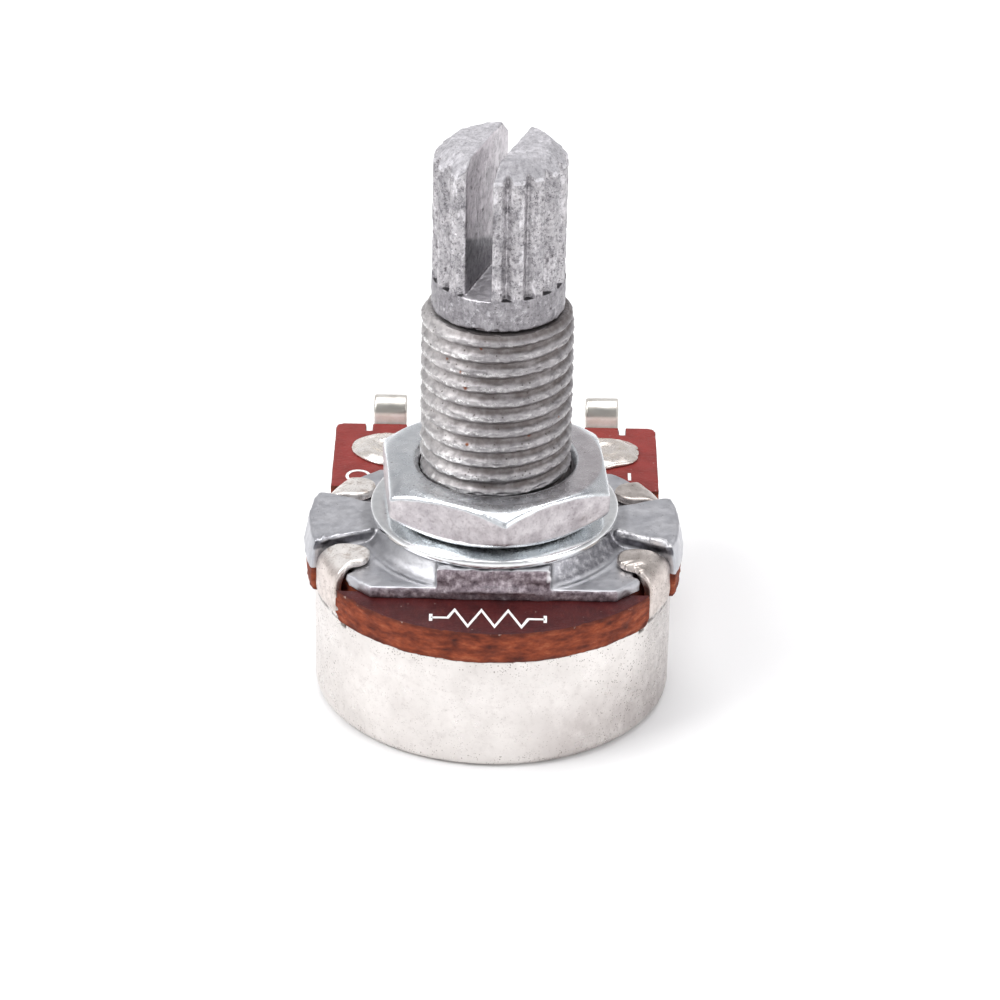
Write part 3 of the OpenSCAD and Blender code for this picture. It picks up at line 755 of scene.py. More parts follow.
def mat_can():
    m = Mat("can_tin", 1.0, 0.33)
    P = m.pos()
    cloud = m.noise(0.55, 4.0, 0.6)
    fine = m.noise(3.2, 4.0, 0.65)
    c = m.ramp(cloud, [(0.30, (0.68, 0.645, 0.62)), (0.62, (0.79, 0.755, 0.73))])
    c = m.mix(m.span(fine, 0.50, 0.75, 0.0, 0.4), c, (0.56, 0.52, 0.50))
    # painted shade: a darker, noise-mottled patch low on the right
    right = m.math("MULTIPLY", m.span(P[0], 0.8, 4.4), m.span(P[2], 4.4, 1.2), clamp=True)
    painted_shade_patch = m.math("MULTIPLY", right, m.span(m.noise(0.7, 5.0, 0.65), 0.22, 0.62), clamp=True)
    c = m.mix(m.math("MULTIPLY", painted_shade_patch, 0.62), c, (0.40, 0.355, 0.345))
    # painted shade: darker mottling along the right edge, the side away from the light
    edge = m.math("MULTIPLY", m.span(P[0], 6.2, 7.9), m.span(m.noise(2.6, 6.0, 0.75), 0.36, 0.62), clamp=True)
    c = m.mix(m.math("MULTIPLY", edge, 0.6), c, (0.40, 0.365, 0.355))
    s1 = specks(m, 6.5, 0.24, 0.46)
    s2 = specks(m, 2.8, 0.13, 0.52)
    s = m.math("MAXIMUM", s1, s2)
    s3 = specks(m, 10.0, 0.30, 0.50)
    s = m.math("MAXIMUM", s, m.math("MULTIPLY", s3, 0.8))
    where = m.math("MAXIMUM", m.math("MAXIMUM", m.span(P[2], 4.6, 5.5), m.span(P[2], 0.9, 0.3)), m.math("MAXIMUM", m.span(P[0], 3.5, 7.0), m.span(P[0], -6.6, -7.9)))
    s = m.math("MULTIPLY", s, m.math("MULTIPLY_ADD", where, 0.78, 0.22), clamp=True)
    c = m.mix(m.math("MULTIPLY", s, 0.75), c, (0.20, 0.165, 0.145))
    # flux and dirt under the board's edge, with painted shade where the board overhangs
    dirt_and_shade = m.math("MULTIPLY", m.span(P[2], 5.45, 5.66), m.span(m.noise(1.7, 4.0, 0.7), 0.40, 0.55), clamp=True)
    dirt_and_shade = m.math("MULTIPLY", dirt_and_shade, m.span(P[2], 5.9, 5.75), clamp=True)
    c = m.mix(m.math("MULTIPLY", dirt_and_shade, 0.85), c, (0.075, 0.045, 0.035))
    ay = m.math("ABSOLUTE", P[1])
    # painted shade: dark at the foot of the slits beside the tabs
    slit_shade = m.math("MAXIMUM", m.math("MULTIPLY", m.span(ay, TAB_F - 0.10, TAB_F - 0.02), m.span(ay, TAB_F + 0.34, TAB_F + 0.26)),
                  m.math("MULTIPLY", m.span(ay, TAB_B - 0.34, TAB_B - 0.26), m.span(ay, TAB_B + 0.10, TAB_B + 0.02)))
    slit_shade = m.math("MULTIPLY", slit_shade, m.math("MULTIPLY", m.span(P[2], 5.12, 5.28), m.span(m.math("ABSOLUTE", P[0]), 6.2, 6.4)), clamp=True)
    c = m.mix(m.math("MULTIPLY", slit_shade, 0.8), c, (0.10, 0.075, 0.06))
    # folded tabs: warmer and rubbed; their tops carry painted light on the left and painted shade on the right
    strip = m.math("MULTIPLY", m.span(P[2], 5.75, 5.95), 0.65)
    c = m.mix(strip, c, m.ramp(m.noise(2.4, 5.0, 0.7), [(0.32, (0.46, 0.38, 0.34)), (0.60, (0.78, 0.69, 0.64))]))
    tops = m.span(P[2], 7.75, 8.1)
    lit = m.ramp(m.noise(2.2, 6.0, 0.75), [(0.34, (0.52, 0.45, 0.40)), (0.52, (0.90, 0.86, 0.82))])
    dull_and_shaded = m.ramp(m.noise(1.6, 5.0, 0.7), [(0.32, (0.45, 0.40, 0.36)), (0.62, (0.72, 0.66, 0.62))])
    c = m.mix(tops, c, m.mix(m.span(P[0], -1.0, 1.0), lit, dull_and_shaded))
    bare = m.math("MULTIPLY", tops, m.span(P[0], 1.0, -1.0), clamp=True)
    m.nt.links.new(m.math("MULTIPLY_ADD", bare, -0.3, 1.0), m.b.inputs["Metallic"])
    c = m.mix(m.math("MULTIPLY", s, 0.5), c, (0.20, 0.165, 0.145))
    m.color(c)
    m.rough(m.math("ADD", m.span(m.noise(1.6, 4.0, 0.6), 0.3, 0.7, 0.27, 0.42), m.math("MULTIPLY", s, 0.3)))
    m.bump(m.noise(1.3, 3.0, 0.5), 0.03, 0.5)
    m.bump(m.noise(9.0, 3.0, 0.6), 0.004, 0.6)
    return m.m


def mat_zinc():
    m = Mat("zinc_casting", 1.0, 0.42)
    P, N = m.pos(), m.face()
    cloud = m.noise(0.9, 5.0, 0.62)
    c = m.ramp(cloud, [(0.3, (0.44, 0.445, 0.475)), (0.6, (0.60, 0.60, 0.625))])
    fine = m.noise(6.0, 4.0, 0.7)
    c = m.mix(m.span(fine, 0.55, 0.8, 0.0, 0.5), c, (0.36, 0.35, 0.38))
    # cut faces at the front and back are rough and purplish
    cut = m.span(m.math("ABSOLUTE", N[1]), 0.55, 0.9)
    cut = m.math("MULTIPLY", cut, m.span(m.math("ABSOLUTE", P[1]), 5.1, 5.5), clamp=True)
    torn = m.ramp(m.noise(3.4, 6.0, 0.75), [(0.3, (0.10, 0.075, 0.09)), (0.50, (0.36, 0.30, 0.33)), (0.70, (0.76, 0.70, 0.73))])
    c = m.mix(cut, c, torn)
    # painted shade: the wings' front faces painted dark, and the boss's flare painted darker below the washer's rim
    front = m.math("MULTIPLY", m.span(m.math("MULTIPLY", N[1], -1.0), 0.55, 0.85), m.span(m.math("ABSOLUTE", P[0]), 4.5, 5.0), clamp=True)
    front = m.math("MULTIPLY", front, m.span(P[2], 7.9, 8.05), clamp=True)
    front = m.math("MULTIPLY", front, m.span(P[2], 8.42, 8.28), clamp=True)
    front = m.math("MULTIPLY", front, m.span(P[1], -4.0, -3.7), clamp=True)
    c = m.mix(m.math("MULTIPLY", front, 0.9), c, m.ramp(m.noise(3.0, 4.0, 0.7), [(0.3, (0.045, 0.045, 0.055)), (0.65, (0.17, 0.165, 0.185))]))
    rad = m.math("SQRT", m.math("ADD", m.math("MULTIPLY", P[0], P[0]), m.math("MULTIPLY", P[1], P[1])))
    # painted shade around the boss's flare, under the washer's rim
    flare = m.math("MULTIPLY", m.span(rad, 6.3, 6.0), m.span(P[2], 7.84, 7.95), clamp=True)
    flare = m.math("MULTIPLY", flare, m.math("SUBTRACT", 1.0, cut), clamp=True)
    c = m.mix(m.math("MULTIPLY", flare, 0.6), c, m.ramp(m.noise(2.0, 5.0, 0.7), [(0.3, (0.22, 0.22, 0.235)), (0.65, (0.44, 0.44, 0.455))]))
    # painted shade: the flare darker and mottled on its right side
    flare_right_shade = m.math("MULTIPLY", flare, m.math("MULTIPLY", m.span(P[0], 2.0, 3.2), m.span(N[2], 0.95, 0.85)), clamp=True)
    c = m.mix(m.math("MULTIPLY", flare_right_shade, 0.75), c, m.ramp(m.noise(2.6, 6.0, 0.75), [(0.36, (0.10, 0.098, 0.115)), (0.52, (0.30, 0.295, 0.32)), (0.66, (0.70, 0.69, 0.72))]))
    # rubbed edges of the block and the ragged lip on the right wing, painted bright partly as a highlight
    rim = m.math("MULTIPLY", m.span(P[2], 9.02, 9.14), m.span(P[1], -5.3, -5.5), clamp=True)
    ends = m.math("MULTIPLY", m.span(P[0], 2.36, 2.46), m.span(P[0], 2.76, 2.68), clamp=True)
    ends = m.math("MULTIPLY", ends, m.math("MULTIPLY", m.span(P[1], -5.5, -5.6), m.span(P[2], 8.2, 8.3)), clamp=True)
    rim = m.math("MULTIPLY", m.math("MAXIMUM", rim, ends), m.span(m.noise(4.0, 5.0, 0.75), 0.36, 0.5), clamp=True)
    c = m.mix(m.math("MULTIPLY", rim, 0.8), c, (0.86, 0.84, 0.86))
    e = m.math("ADD", P[1], m.math("MULTIPLY_ADD", P[0], 0.43, -1.08))
    ragged = m.math("MULTIPLY", m.span(e, -0.12, 0.0), m.span(e, 0.34, 0.22), clamp=True)
    ragged = m.math("MULTIPLY", ragged, m.math("MULTIPLY", m.span(P[0], 5.5, 5.8), m.span(P[2], 8.3, 8.4), clamp=True), clamp=True)
    ragged = m.math("MULTIPLY", ragged, m.span(m.noise(3.6, 5.0, 0.75), 0.36, 0.52), clamp=True)
    c = m.mix(m.math("MULTIPLY", ragged, 0.85), c, (0.90, 0.89, 0.91))
    s = specks(m, 5.5, 0.22, 0.54)
    c = m.mix(m.math("MULTIPLY", s, 0.5), c, (0.14, 0.12, 0.12))
    m.color(c)
    m.rough(m.math("ADD", m.span(m.noise(2.4, 5.0, 0.6), 0.3, 0.7, 0.33, 0.50), m.math("MULTIPLY", cut, 0.22)))
    m.bump(m.noise(2.6, 5.0, 0.6), 0.03, 0.55)
    m.bump(m.noise(11.0, 3.0, 0.6), 0.006, 0.6)
    return m.m


def mat_thread():
    m = Mat("zinc_thread", 1.0, 0.36)
    P = m.pos()
    rad = m.math("SQRT", m.math("ADD", m.math("MULTIPLY", P[0], P[0]), m.math("MULTIPLY", P[1], P[1])))
    # painted shade: the thread's roots are darkened
    valley = m.span(rad, 3.40, 3.27)
    # painted light: the left side, towards the light, is paler
    left_light = m.span(P[0], -0.6, -3.0, 0.0, 0.75)
    c = m.ramp(m.noise(2.4, 5.0, 0.65), [(0.32, (0.235, 0.222, 0.230)), (0.62, (0.43, 0.412, 0.420))])
    c = m.mix(m.math("MULTIPLY", valley, m.span(m.noise(1.5, 4.0, 0.6), 0.3, 0.65, 0.5, 1.0)), c, (0.17, 0.150, 0.145))
    c = m.mix(left_light, c, m.ramp(m.noise(2.4, 5.0, 0.65), [(0.32, (0.36, 0.345, 0.345)), (0.62, (0.66, 0.635, 0.63))]))
    rust = m.math("MULTIPLY", m.span(m.cells(1.15), 0.16, 0.05), m.span(m.noise(0.8, 2.0), 0.5, 0.58), clamp=True)
    c = m.mix(rust, c, (0.20, 0.07, 0.035))
    # painted highlight along the crests, stronger on the left
    crest = m.math("MULTIPLY", m.span(rad, 3.42, 3.46), m.span(m.noise(6.5, 4.0, 0.75), 0.44, 0.56), clamp=True)
    crest = m.math("MULTIPLY", crest, m.span(P[0], 0.6, -1.8, 0.35, 1.0), clamp=True)
    c = m.mix(m.math("MULTIPLY", crest, 0.8), c, (0.93, 0.92, 0.91))
    s = specks(m, 4.0, 0.22, 0.50)
    c = m.mix(m.math("MULTIPLY", s, 0.75), c, (0.08, 0.068, 0.064))
    m.color(c)
    m.rough(m.math("ADD", m.span(m.noise(3.0, 4.0, 0.6), 0.3, 0.7, 0.34, 0.52), m.math("MULTIPLY", valley, 0.12)))
    m.bump(m.noise(5.5, 6.0, 0.7), 0.045, 0.8)
    return m.m


def mat_shaft():
    m = Mat("shaft_alloy", 1.0, 0.42)
    P = m.pos()
    c = m.ramp(m.noise(1.1, 5.0, 0.65), [(0.3, (0.37, 0.36, 0.375)), (0.62, (0.57, 0.55, 0.565))])
    c = m.mix(m.span(m.noise(5.0, 6.0, 0.8), 0.44, 0.64, 0.0, 0.9), c, (0.15, 0.14, 0.155))
    c = m.mix(m.span(m.noise(8.0, 4.0, 0.7), 0.58, 0.72, 0.0, 0.7), c, (0.90, 0.90, 0.93))
    drag = m.noise(2.4, 6.0, 0.8, vec=m.coords((1.0, 1.0, 0.4)))
    c = m.mix(m.span(drag, 0.52, 0.64, 0.0, 0.7), c, (0.84, 0.82, 0.845))
    c = m.mix(m.span(drag, 0.45, 0.36, 0.0, 0.7), c, (0.17, 0.16, 0.175))
    c = m.mix(m.span(P[2], 21.0, 20.8, 0.0, 0.6), c, (0.20, 0.19, 0.205))
    N = m.face()
    # sawn walls of the slot: pale above, and a painted shadow over their lower part, its edge running down towards the
    # back
    ca, sa = math.cos(math.radians(SLOT_TURN)), math.sin(math.radians(SLOT_TURN))
    U = m.math("ABSOLUTE", m.math("ADD", m.math("MULTIPLY", P[0], ca), m.math("MULTIPLY", P[1], sa)))
    wall = m.math("MULTIPLY", m.span(U, 0.68, 0.62), m.span(P[2], 21.0, 21.1), clamp=True)
    sawn = m.ramp(m.noise(3.0, 5.0, 0.7), [(0.3, (0.66, 0.62, 0.65)), (0.65, (0.92, 0.88, 0.91))])
    slot_wall_shadow = m.ramp(m.noise(3.0, 5.0, 0.7), [(0.3, (0.16, 0.16, 0.175)), (0.65, (0.26, 0.26, 0.275))])
    V = m.math("ADD", m.math("MULTIPLY", P[0], -sa), m.math("MULTIPLY", P[1], ca))
    height = m.math("ADD", P[2], m.math("MULTIPLY_ADD", V, 0.38, 1.1))
    c = m.mix(wall, c, m.mix(m.span(height, 23.8, 23.5), sawn, slot_wall_shadow))
    # painted light: the slot's floor painted pale against the shade in the slot
    bed = m.math("MULTIPLY", m.span(U, 0.68, 0.6), m.span(P[2], 21.05, 20.95), clamp=True)
    bed = m.math("MULTIPLY", bed, m.math("MULTIPLY", m.span(P[2], 20.5, 20.7), m.span(N[2], 0.5, 0.8)), clamp=True)
    c = m.mix(bed, c, m.ramp(m.noise(3.0, 5.0, 0.7), [(0.3, (0.55, 0.53, 0.56)), (0.65, (0.84, 0.82, 0.85))]))
    flat = m.span(N[2], 0.35, 0.7)
    flat = m.math("MULTIPLY", flat, m.span(P[2], 26.2, 26.5), clamp=True)
    c = m.mix(m.math("MULTIPLY", flat, 0.6), c, m.ramp(m.noise(6.0, 5.0, 0.8), [(0.32, (0.36, 0.355, 0.37)), (0.55, (0.72, 0.71, 0.74))]))
    dull_and_shaded = m.math("MULTIPLY", m.span(N[2], 0.12, 0.3), m.span(P[2], 25.9, 26.2), clamp=True)
    # painted shade on the front of the rounded top edge
    front = m.math("MULTIPLY", dull_and_shaded, m.span(P[1], -1.4, -2.1), clamp=True)
    c = m.mix(m.math("MULTIPLY", front, 0.4), c, (0.24, 0.235, 0.25))
    # painted shadow: the flat shelves where the knurl's grooves end are painted near black
    shelf_shadow = m.math("MULTIPLY", m.span(N[2], 0.4, 0.8), m.span(P[2], 21.2, 21.0), clamp=True)
    rad = m.math("SQRT", m.math("ADD", m.math("MULTIPLY", P[0], P[0]), m.math("MULTIPLY", P[1], P[1])))
    shelf_shadow = m.math("MULTIPLY", shelf_shadow, m.math("MULTIPLY", m.span(rad, 2.6, 2.75), m.span(U, 0.66, 0.74)), clamp=True)
    # rubbed crests of the knurl, and a painted highlight along the ragged front lip of the slot's floor
    bright = m.math("MULTIPLY", m.span(rad, 2.99, 3.02), m.span(m.noise(3.6, 5.0, 0.75), 0.50, 0.60), clamp=True)
    c = m.mix(m.math("MULTIPLY", bright, 0.45), c, (0.92, 0.91, 0.94))
    brim = m.math("MULTIPLY", m.span(rad, 2.86, 2.94), m.math("MULTIPLY", m.span(P[2], 26.40, 26.47), m.span(P[2], 26.64, 26.57)), clamp=True)
    brim = m.math("MULTIPLY", brim, m.span(m.noise(5.0, 5.0, 0.75), 0.40, 0.50), clamp=True)
    c = m.mix(m.math("MULTIPLY", brim, 0.6), c, (0.90, 0.89, 0.92))
    sill = m.math("MULTIPLY", m.span(rad, 2.90, 2.95), m.span(U, 0.74, 0.68), clamp=True)
    sill = m.math("MULTIPLY", sill, m.math("MULTIPLY", m.span(P[2], 20.78, 20.84), m.span(P[2], 21.1, 21.0)), clamp=True)
    sill = m.math("MULTIPLY", sill, m.span(m.noise(9.0, 4.0, 0.7), 0.46, 0.54), clamp=True)
    c = m.mix(m.math("MULTIPLY", sill, 0.7), c, (0.92, 0.91, 0.93))
    c = m.mix(m.math("MULTIPLY", shelf_shadow, 0.85), c, (0.03, 0.028, 0.03))
    s = m.math("MAXIMUM", specks(m, 5.4, 0.25, 0.48), specks(m, 2.6, 0.15, 0.52))
    clean = m.math("MAXIMUM", m.math("MAXIMUM", wall, bed), m.math("MULTIPLY", dull_and_shaded, 0.6))
    s = m.math("MULTIPLY", s, m.math("MULTIPLY_ADD", clean, -0.9, 1.0), clamp=True)
    c = m.mix(m.math("MULTIPLY", s, 0.62), c, (0.085, 0.075, 0.08))
    m.color(c)
    m.rough(m.math("MULTIPLY_ADD", dull_and_shaded, 0.2, m.span(m.noise(4.0, 5.0, 0.7), 0.3, 0.7, 0.34, 0.58)))
    m.bump(m.noise(3.2, 4.0, 0.6), 0.035, 0.6)
    m.bump(m.noise(9.5, 4.0, 0.7), 0.014, 0.8)
    return m.m


def mat_nut():
    m = Mat("nut_plate", 1.0, 0.3)
    N = m.face()
    c = m.ramp(m.noise(0.8, 4.0, 0.6), [(0.3, (0.66, 0.69, 0.72)), (0.65, (0.83, 0.85, 0.87))])
    P = m.pos()
    # painted shade: the top face darker and warmer on the right
    right_top_shade = m.math("MULTIPLY", m.span(N[2], 0.93, 0.98), m.span(P[0], 1.6, 4.2), clamp=True)
    c = m.mix(m.math("MULTIPLY", right_top_shade, 0.75), c, m.ramp(m.noise(1.2, 5.0, 0.7), [(0.3, (0.48, 0.42, 0.43)), (0.65, (0.66, 0.61, 0.62))]))
    side = m.span(m.math("ABSOLUTE", N[2]), 0.35, 0.12)
    worn = m.ramp(m.noise(1.3, 5.0, 0.7), [(0.28, (0.38, 0.345, 0.365)), (0.5, (0.56, 0.525, 0.54)), (0.7, (0.72, 0.685, 0.695))])
    worn = m.mix(m.span(m.noise(6.5, 4.0, 0.7), 0.50, 0.72, 0.0, 0.6), worn, (0.27, 0.23, 0.25))
    c = m.mix(side, c, worn)
    s = specks(m, 3.4, 0.2, 0.57)
    c = m.mix(m.math("MULTIPLY", s, 0.6), c, (0.16, 0.14, 0.14))
    m.color(c)
    m.rough(m.math("ADD", m.span(m.noise(1.9, 4.0, 0.6), 0.3, 0.7, 0.18, 0.32), m.math("MULTIPLY", side, 0.2)))
    m.bump(m.noise(1.8, 4.0, 0.55), 0.022, 0.5)
    m.bump(m.noise(7.0, 4.0, 0.65), 0.006, 0.6)
    return m.m


def mat_washer():
    m = Mat("washer_plate", 1.0, 0.2)
    c = m.ramp(m.noise(1.2, 4.0, 0.6), [(0.3, (0.76, 0.77, 0.78)), (0.65, (0.91, 0.92, 0.92))])
    s = specks(m, 3.6, 0.2, 0.58)
    c = m.mix(m.math("MULTIPLY", s, 0.6), c, (0.2, 0.17, 0.15))
    m.color(c)
    m.rough(m.span(m.noise(2.2, 4.0, 0.6), 0.3, 0.7, 0.14, 0.27))
    m.bump(m.noise(1.5, 3.0, 0.5), 0.02, 0.5)
    return m.m


def mat_board():
    m = Mat("board_phenolic", 0.0, 0.42, spec=0.22)
    P, N = m.pos(), m.face()
    # painted light and shade on one red: dark maroon at the front where the casting shades it, lit red towards the tail
    lit_red = m.ramp(m.noise(1.2, 5.0, 0.6), [(0.3, (0.195, 0.024, 0.020)), (0.65, (0.27, 0.036, 0.031))])
    shaded_maroon = m.ramp(m.noise(1.2, 5.0, 0.6), [(0.3, (0.040, 0.007, 0.008)), (0.65, (0.075, 0.012, 0.012))])
    flat = m.mix(m.span(P[1], -2.0, 5.0), shaded_maroon, lit_red)
    # paper fibres, long in one direction, and fine pale dust
    streak = m.noise(2.6, 5.0, 0.7, vec=m.coords((3.2, 0.5, 1.0), (0, 0, 0.5)))
    flat = m.mix(m.span(streak, 0.5, 0.75, 0.0, 0.22), flat, (0.26, 0.065, 0.045))
    dust = m.math("MULTIPLY", m.span(m.cells(2.7), 0.12, 0.05), m.span(m.noise(1.4, 2.0), 0.52, 0.58), clamp=True)
    flat = m.mix(m.math("MULTIPLY", dust, 0.7), flat, (0.62, 0.50, 0.45))
    layer = m.coords((1.0, 1.0, 2.6))
    edge = m.ramp(m.noise(1.0, 6.0, 0.66, vec=layer), [(0.30, (0.050, 0.011, 0.008)), (0.44, (0.15, 0.030, 0.014)),
                                                    (0.58, (0.27, 0.058, 0.024)), (0.74, (0.42, 0.13, 0.06))])
    band = m.math("MAXIMUM", m.span(P[2], 7.0, 7.22), m.span(P[2], 5.98, 5.78))
    band = m.math("MULTIPLY", band, m.span(m.noise(1.6, 4.0, 0.7), 0.3, 0.6, 0.35, 1.0), clamp=True)
    edge = m.mix(m.math("MULTIPLY", band, 0.6), edge, (0.050, 0.012, 0.009))
    chip = m.math("MULTIPLY", m.span(P[2], 7.12, 7.2), m.span(m.noise(1.9, 5.0, 0.75), 0.60, 0.66), clamp=True)
    edge = m.mix(m.math("MULTIPLY", chip, 0.7), edge, (0.62, 0.46, 0.40))
    c = m.mix(m.span(m.math("ABSOLUTE", N[2]), 0.8, 0.55), flat, edge)
    m.color(c)
    side = m.span(m.math("ABSOLUTE", N[2]), 0.8, 0.55)
    m.rough(m.math("ADD", m.span(m.noise(2.0, 4.0, 0.6), 0.3, 0.7, 0.30, 0.44), m.math("MULTIPLY", side, 0.35)))
    m.bump(m.noise(5.0, 6.0, 0.7, vec=layer), 0.05, 0.6)
    return m.m


def mat_print():
    m = Mat("print_white", 0.0, 0.55)
    m.color(m.ramp(m.noise(4.0, 4.0, 0.6), [(0.3, (0.80, 0.78, 0.76)), (0.6, (0.95, 0.94, 0.93))]))
    m.bump(m.noise(9.0, 3.0, 0.6), 0.006, 0.6)
    return m.m


def mat_terminal():
    m = Mat("terminal_tin", 0.62, 0.34)
    c = m.ramp(m.noise(1.4, 4.0, 0.6), [(0.3, (0.70, 0.66, 0.60)), (0.65, (0.86, 0.83, 0.78))])
    P = m.pos()
    # painted reflection: a dark band across the hook's upper bend
    band = m.math("MULTIPLY", m.span(P[2], 7.72, 7.86), m.span(P[2], 8.22, 8.08), clamp=True)
    c = m.mix(m.math("MULTIPLY", band, 0.8), c, (0.36, 0.35, 0.32))
    # painted reflection: the foot painted pale and less metallic in place of the light it mirrors
    foot = m.span(P[2], 7.80, 7.66)
    c = m.mix(foot, c, m.ramp(m.noise(2.0, 4.0, 0.6), [(0.3, (0.80, 0.76, 0.68)), (0.65, (0.97, 0.95, 0.90))]))
    m.nt.links.new(m.math("MULTIPLY_ADD", foot, -0.8, 0.95), m.b.inputs["Metallic"])
    s = specks(m, 3.6, 0.2, 0.55)
    c = m.mix(m.math("MULTIPLY", s, 0.6), c, (0.25, 0.20, 0.15))
    m.color(c)
    m.rough(m.span(m.noise(2.6, 4.0, 0.6), 0.3, 0.7, 0.30, 0.44))
    m.bump(m.noise(2.2, 4.0, 0.5), 0.02, 0.5)
    return m.m


def mat_rivet():
    m = Mat("rivet_nickel", 0.75, 0.26)
    c = m.ramp(m.noise(2.1, 5.0, 0.65), [(0.3, (0.70, 0.64, 0.57)), (0.6, (0.94, 0.90, 0.86))])
    c = m.mix(m.span(m.pos()[0], 1.5, 3.0, 0.0, 0.4), c, (0.50, 0.43, 0.38))
    s = m.math("MAXIMUM", specks(m, 3.4, 0.2, 0.56), m.span(m.noise(1.6, 4.0, 0.65), 0.66, 0.74))
    c = m.mix(m.math("MULTIPLY", s, 0.65), c, (0.22, 0.16, 0.12))
    m.color(c)
    m.rough(m.span(m.noise(3.4, 4.0, 0.6), 0.3, 0.7, 0.18, 0.36))
    m.bump(m.noise(1.5, 3.0, 0.5), 0.06, 0.5)
    return m.m


def mat_plain_metal(name, lo, hi, rough, metallic=1.0):
    m = Mat(name, metallic, rough)
    c = m.ramp(m.noise(1.5, 4.0, 0.6), [(0.3, lo), (0.65, hi)])
    s = specks(m, 3.4, 0.2, 0.56)
    c = m.mix(m.math("MULTIPLY", s, 0.5), c, tuple(v * 0.3 for v in lo))
    m.color(c)
    m.rough(m.span(m.noise(2.5, 4.0, 0.6), 0.3, 0.7, rough * 0.8, min(1.0, rough * 1.3)))
    m.bump(m.noise(3.5, 4.0, 0.6), 0.02, 0.5)
    return m.m


def mat_rotor():
    m = Mat("rotor_plastic", 0.0, 0.5)
    m.color(m.ramp(m.noise(2.0, 4.0, 0.6), [(0.3, (0.018, 0.017, 0.019)), (0.65, (0.045, 0.042, 0.042))]))
    m.rough(m.span(m.noise(4.0, 4.0, 0.6), 0.3, 0.7, 0.38, 0.6))
    m.bump(m.noise(7.0, 4.0, 0.6), 0.012, 0.6)
    return m.m


# ------------------------------------------------------------------ pieces
M_ZINC, M_THREAD = mat_zinc(), mat_thread()
M_CAN, M_BOARD, M_SHAFT, M_NUT, M_WASH = mat_can(), mat_board(), mat_shaft(), mat_nut(), mat_washer()
M_TERM, M_RIV, M_PRINT = mat_terminal(), mat_rivet(), mat_print()


def thread_faces(me):
    c = centres(me)
    r = np.hypot(c[:, 0], c[:, 1])
    return ((r < 3.7) & (c[:, 2] > 9.0)).astype(np.int32)


piece("casting", join(casting_base(), thread()), [M_ZINC, M_THREAD], "housing", "zinc_casting", "bushing_plate",
      faces=thread_faces)
piece("can", can(), [M_CAN], "housing", "can_tin", "rear_can")
piece("board", board(), [M_BOARD], "housing", "board_phenolic", "circuit_board")
piece("board_print", print_marks(), [M_PRINT], "housing", "board_phenolic", sharp=30)
piece("turned_shaft", join(shaft_head(), shaft_stem()), [M_SHAFT], "spindle", "shaft_alloy", "shaft", sharp=75)
piece("nut_worn", nut(), [M_NUT], "nut", "nut_plate", "hex_nut")
piece("washer_round", washer(), [M_WASH], "washer_ring", "washer_plate", "flat_washer")
piece("terminal_right", terminal(PITCH, 0.05, 81), [M_TERM], "housing", "terminal_tin", "terminal_1")
piece("terminal_middle", terminal(0.0, 0.1, 82), [M_TERM], "housing", "terminal_tin", "terminal_2")
piece("terminal_left", terminal(-PITCH, 0.05, 83), [M_TERM], "housing", "terminal_tin", "terminal_3")
piece("rivets_flared", join(rivet(-PITCH, 91, (2, 3)), rivet(0.0, 94, (3, 4)), rivet(PITCH, 97, (3, 5))), [M_RIV],
      "housing", "rivet_nickel", "terminal_rivets")

INNER = {
    "resistance_track": mat_plain_metal("carbon_ink", (0.012, 0.012, 0.013), (0.035, 0.034, 0.034), 0.55, 0.0),
    "track_end_pads": mat_plain_metal("silver_ink", (0.50, 0.50, 0.49), (0.66, 0.66, 0.64), 0.5, 0.6),
    "collector_ring": mat_plain_metal("contact_brass", (0.62, 0.46, 0.22), (0.80, 0.62, 0.32), 0.3),
    "shaft_clip": mat_plain_metal("clip_steel", (0.20, 0.20, 0.21), (0.34, 0.33, 0.34), 0.35),
    "rotor": mat_rotor(),
    "wiper": mat_plain_metal("wiper_brass", (0.64, 0.48, 0.25), (0.82, 0.65, 0.36), 0.28),
}
for node, mat in INNER.items():
    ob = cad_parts[node]
    if not ob.data.materials:
        ob.data.materials.append(mat)
    for slot_ in ob.material_slots:
        slot_.material = mat


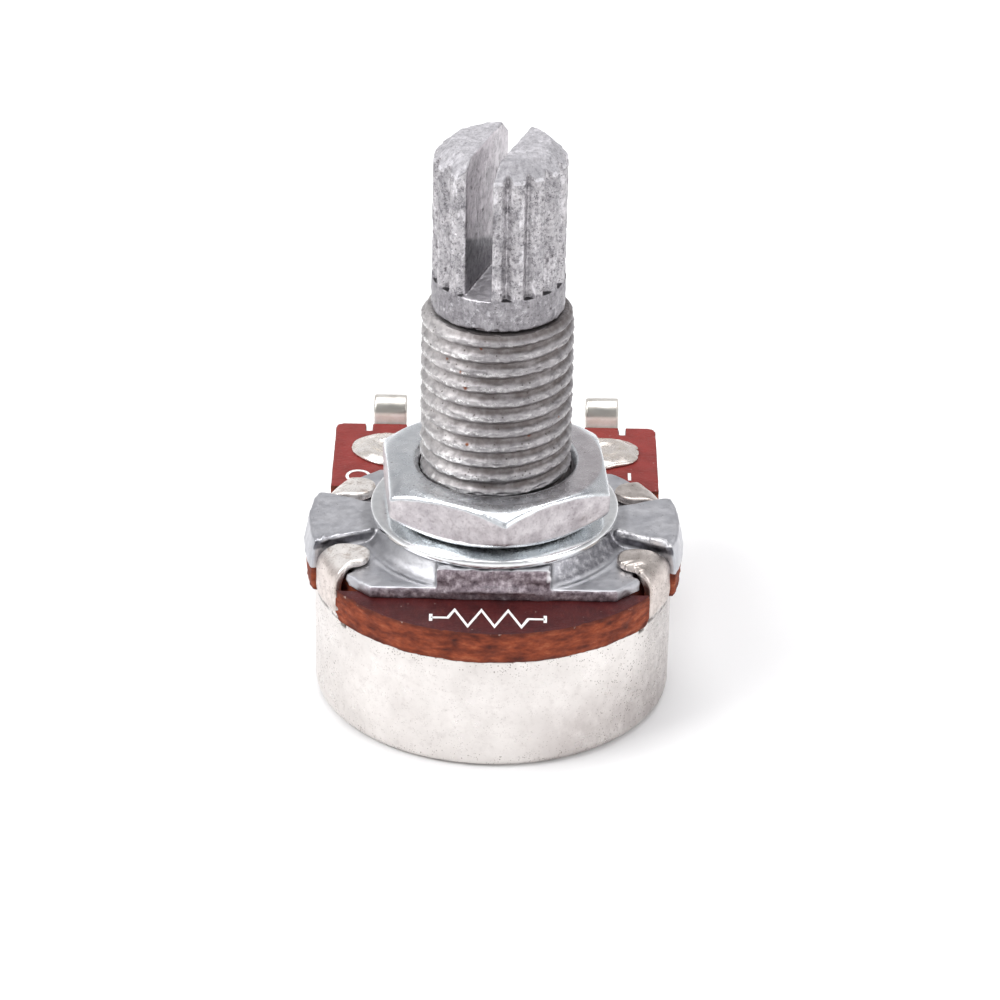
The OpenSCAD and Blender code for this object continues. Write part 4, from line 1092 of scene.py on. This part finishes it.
# ------------------------------------------------------------------ stage
def area(name, loc, size, power, target=(0, 0, 0.01), color=(1, 1, 1), size_y=None):
    l = bpy.data.lights.new(name, "AREA")
    l.shape = "RECTANGLE"
    l.size = size
    l.size_y = size_y or size
    l.energy = power
    l.color = color
    o = bpy.data.objects.new(name, l)
    bpy.context.scene.collection.objects.link(o)
    o.location = loc
    d = Vector(target) - Vector(loc)
    o.rotation_euler = d.to_track_quat("-Z", "Y").to_euler()
    return o


def make_stage():
    me = bpy.data.meshes.new("floor")
    s = 1.5
    z = -1e-5                                       # just clear of the can, so the two never share a plane
    me.from_pydata([(-s, -s, z), (s, -s, z), (s, s, z), (-s, s, z)], [], [(0, 1, 2, 3)])
    ob = bpy.data.objects.new("floor", me)
    bpy.context.scene.collection.objects.link(ob)
    m = Mat("floor_white", 0.0, 0.7)
    m.b.inputs["Base Color"].default_value = (0.9, 0.9, 0.9, 1)
    me.materials.append(m.m)
    w = bpy.data.worlds.new("studio")
    bpy.context.scene.world = w
    w.use_nodes = True
    nt = w.node_tree
    bg = nt.nodes["Background"]
    tc = nt.nodes.new("ShaderNodeTexCoord")
    sep = nt.nodes.new("ShaderNodeSeparateXYZ")
    nt.links.new(tc.outputs["Generated"], sep.inputs[0])
    ramp = nt.nodes.new("ShaderNodeValToRGB")
    e = ramp.color_ramp.elements
    e[0].position, e[0].color = 0.0, (0.92, 0.92, 0.93, 1)
    e[1].position, e[1].color = 1.0, (0.62, 0.62, 0.64, 1)
    for p, c in ((0.18, (0.76, 0.76, 0.77)), (0.34, (0.62, 0.62, 0.635)), (0.54, (0.57, 0.565, 0.575)), (0.72, (0.34, 0.34, 0.36)), (0.86, (0.44, 0.44, 0.46))):
        k = e.new(p)
        k.color = (*c, 1)
    nt.links.new(sep.outputs[2], ramp.inputs[0])
    nt.links.new(ramp.outputs[0], bg.inputs[0])
    bg.inputs[1].default_value = 1.0
    area("key", (-0.30, -0.12, 0.34), 0.24, 1.3)
    area("fill", (0.34, -0.22, 0.24), 0.30, 0.6)
    area("top", (0.02, 0.10, 0.45), 0.34, 1.1)
    bpy.context.scene.view_settings.view_transform = "Standard"


make_stage()
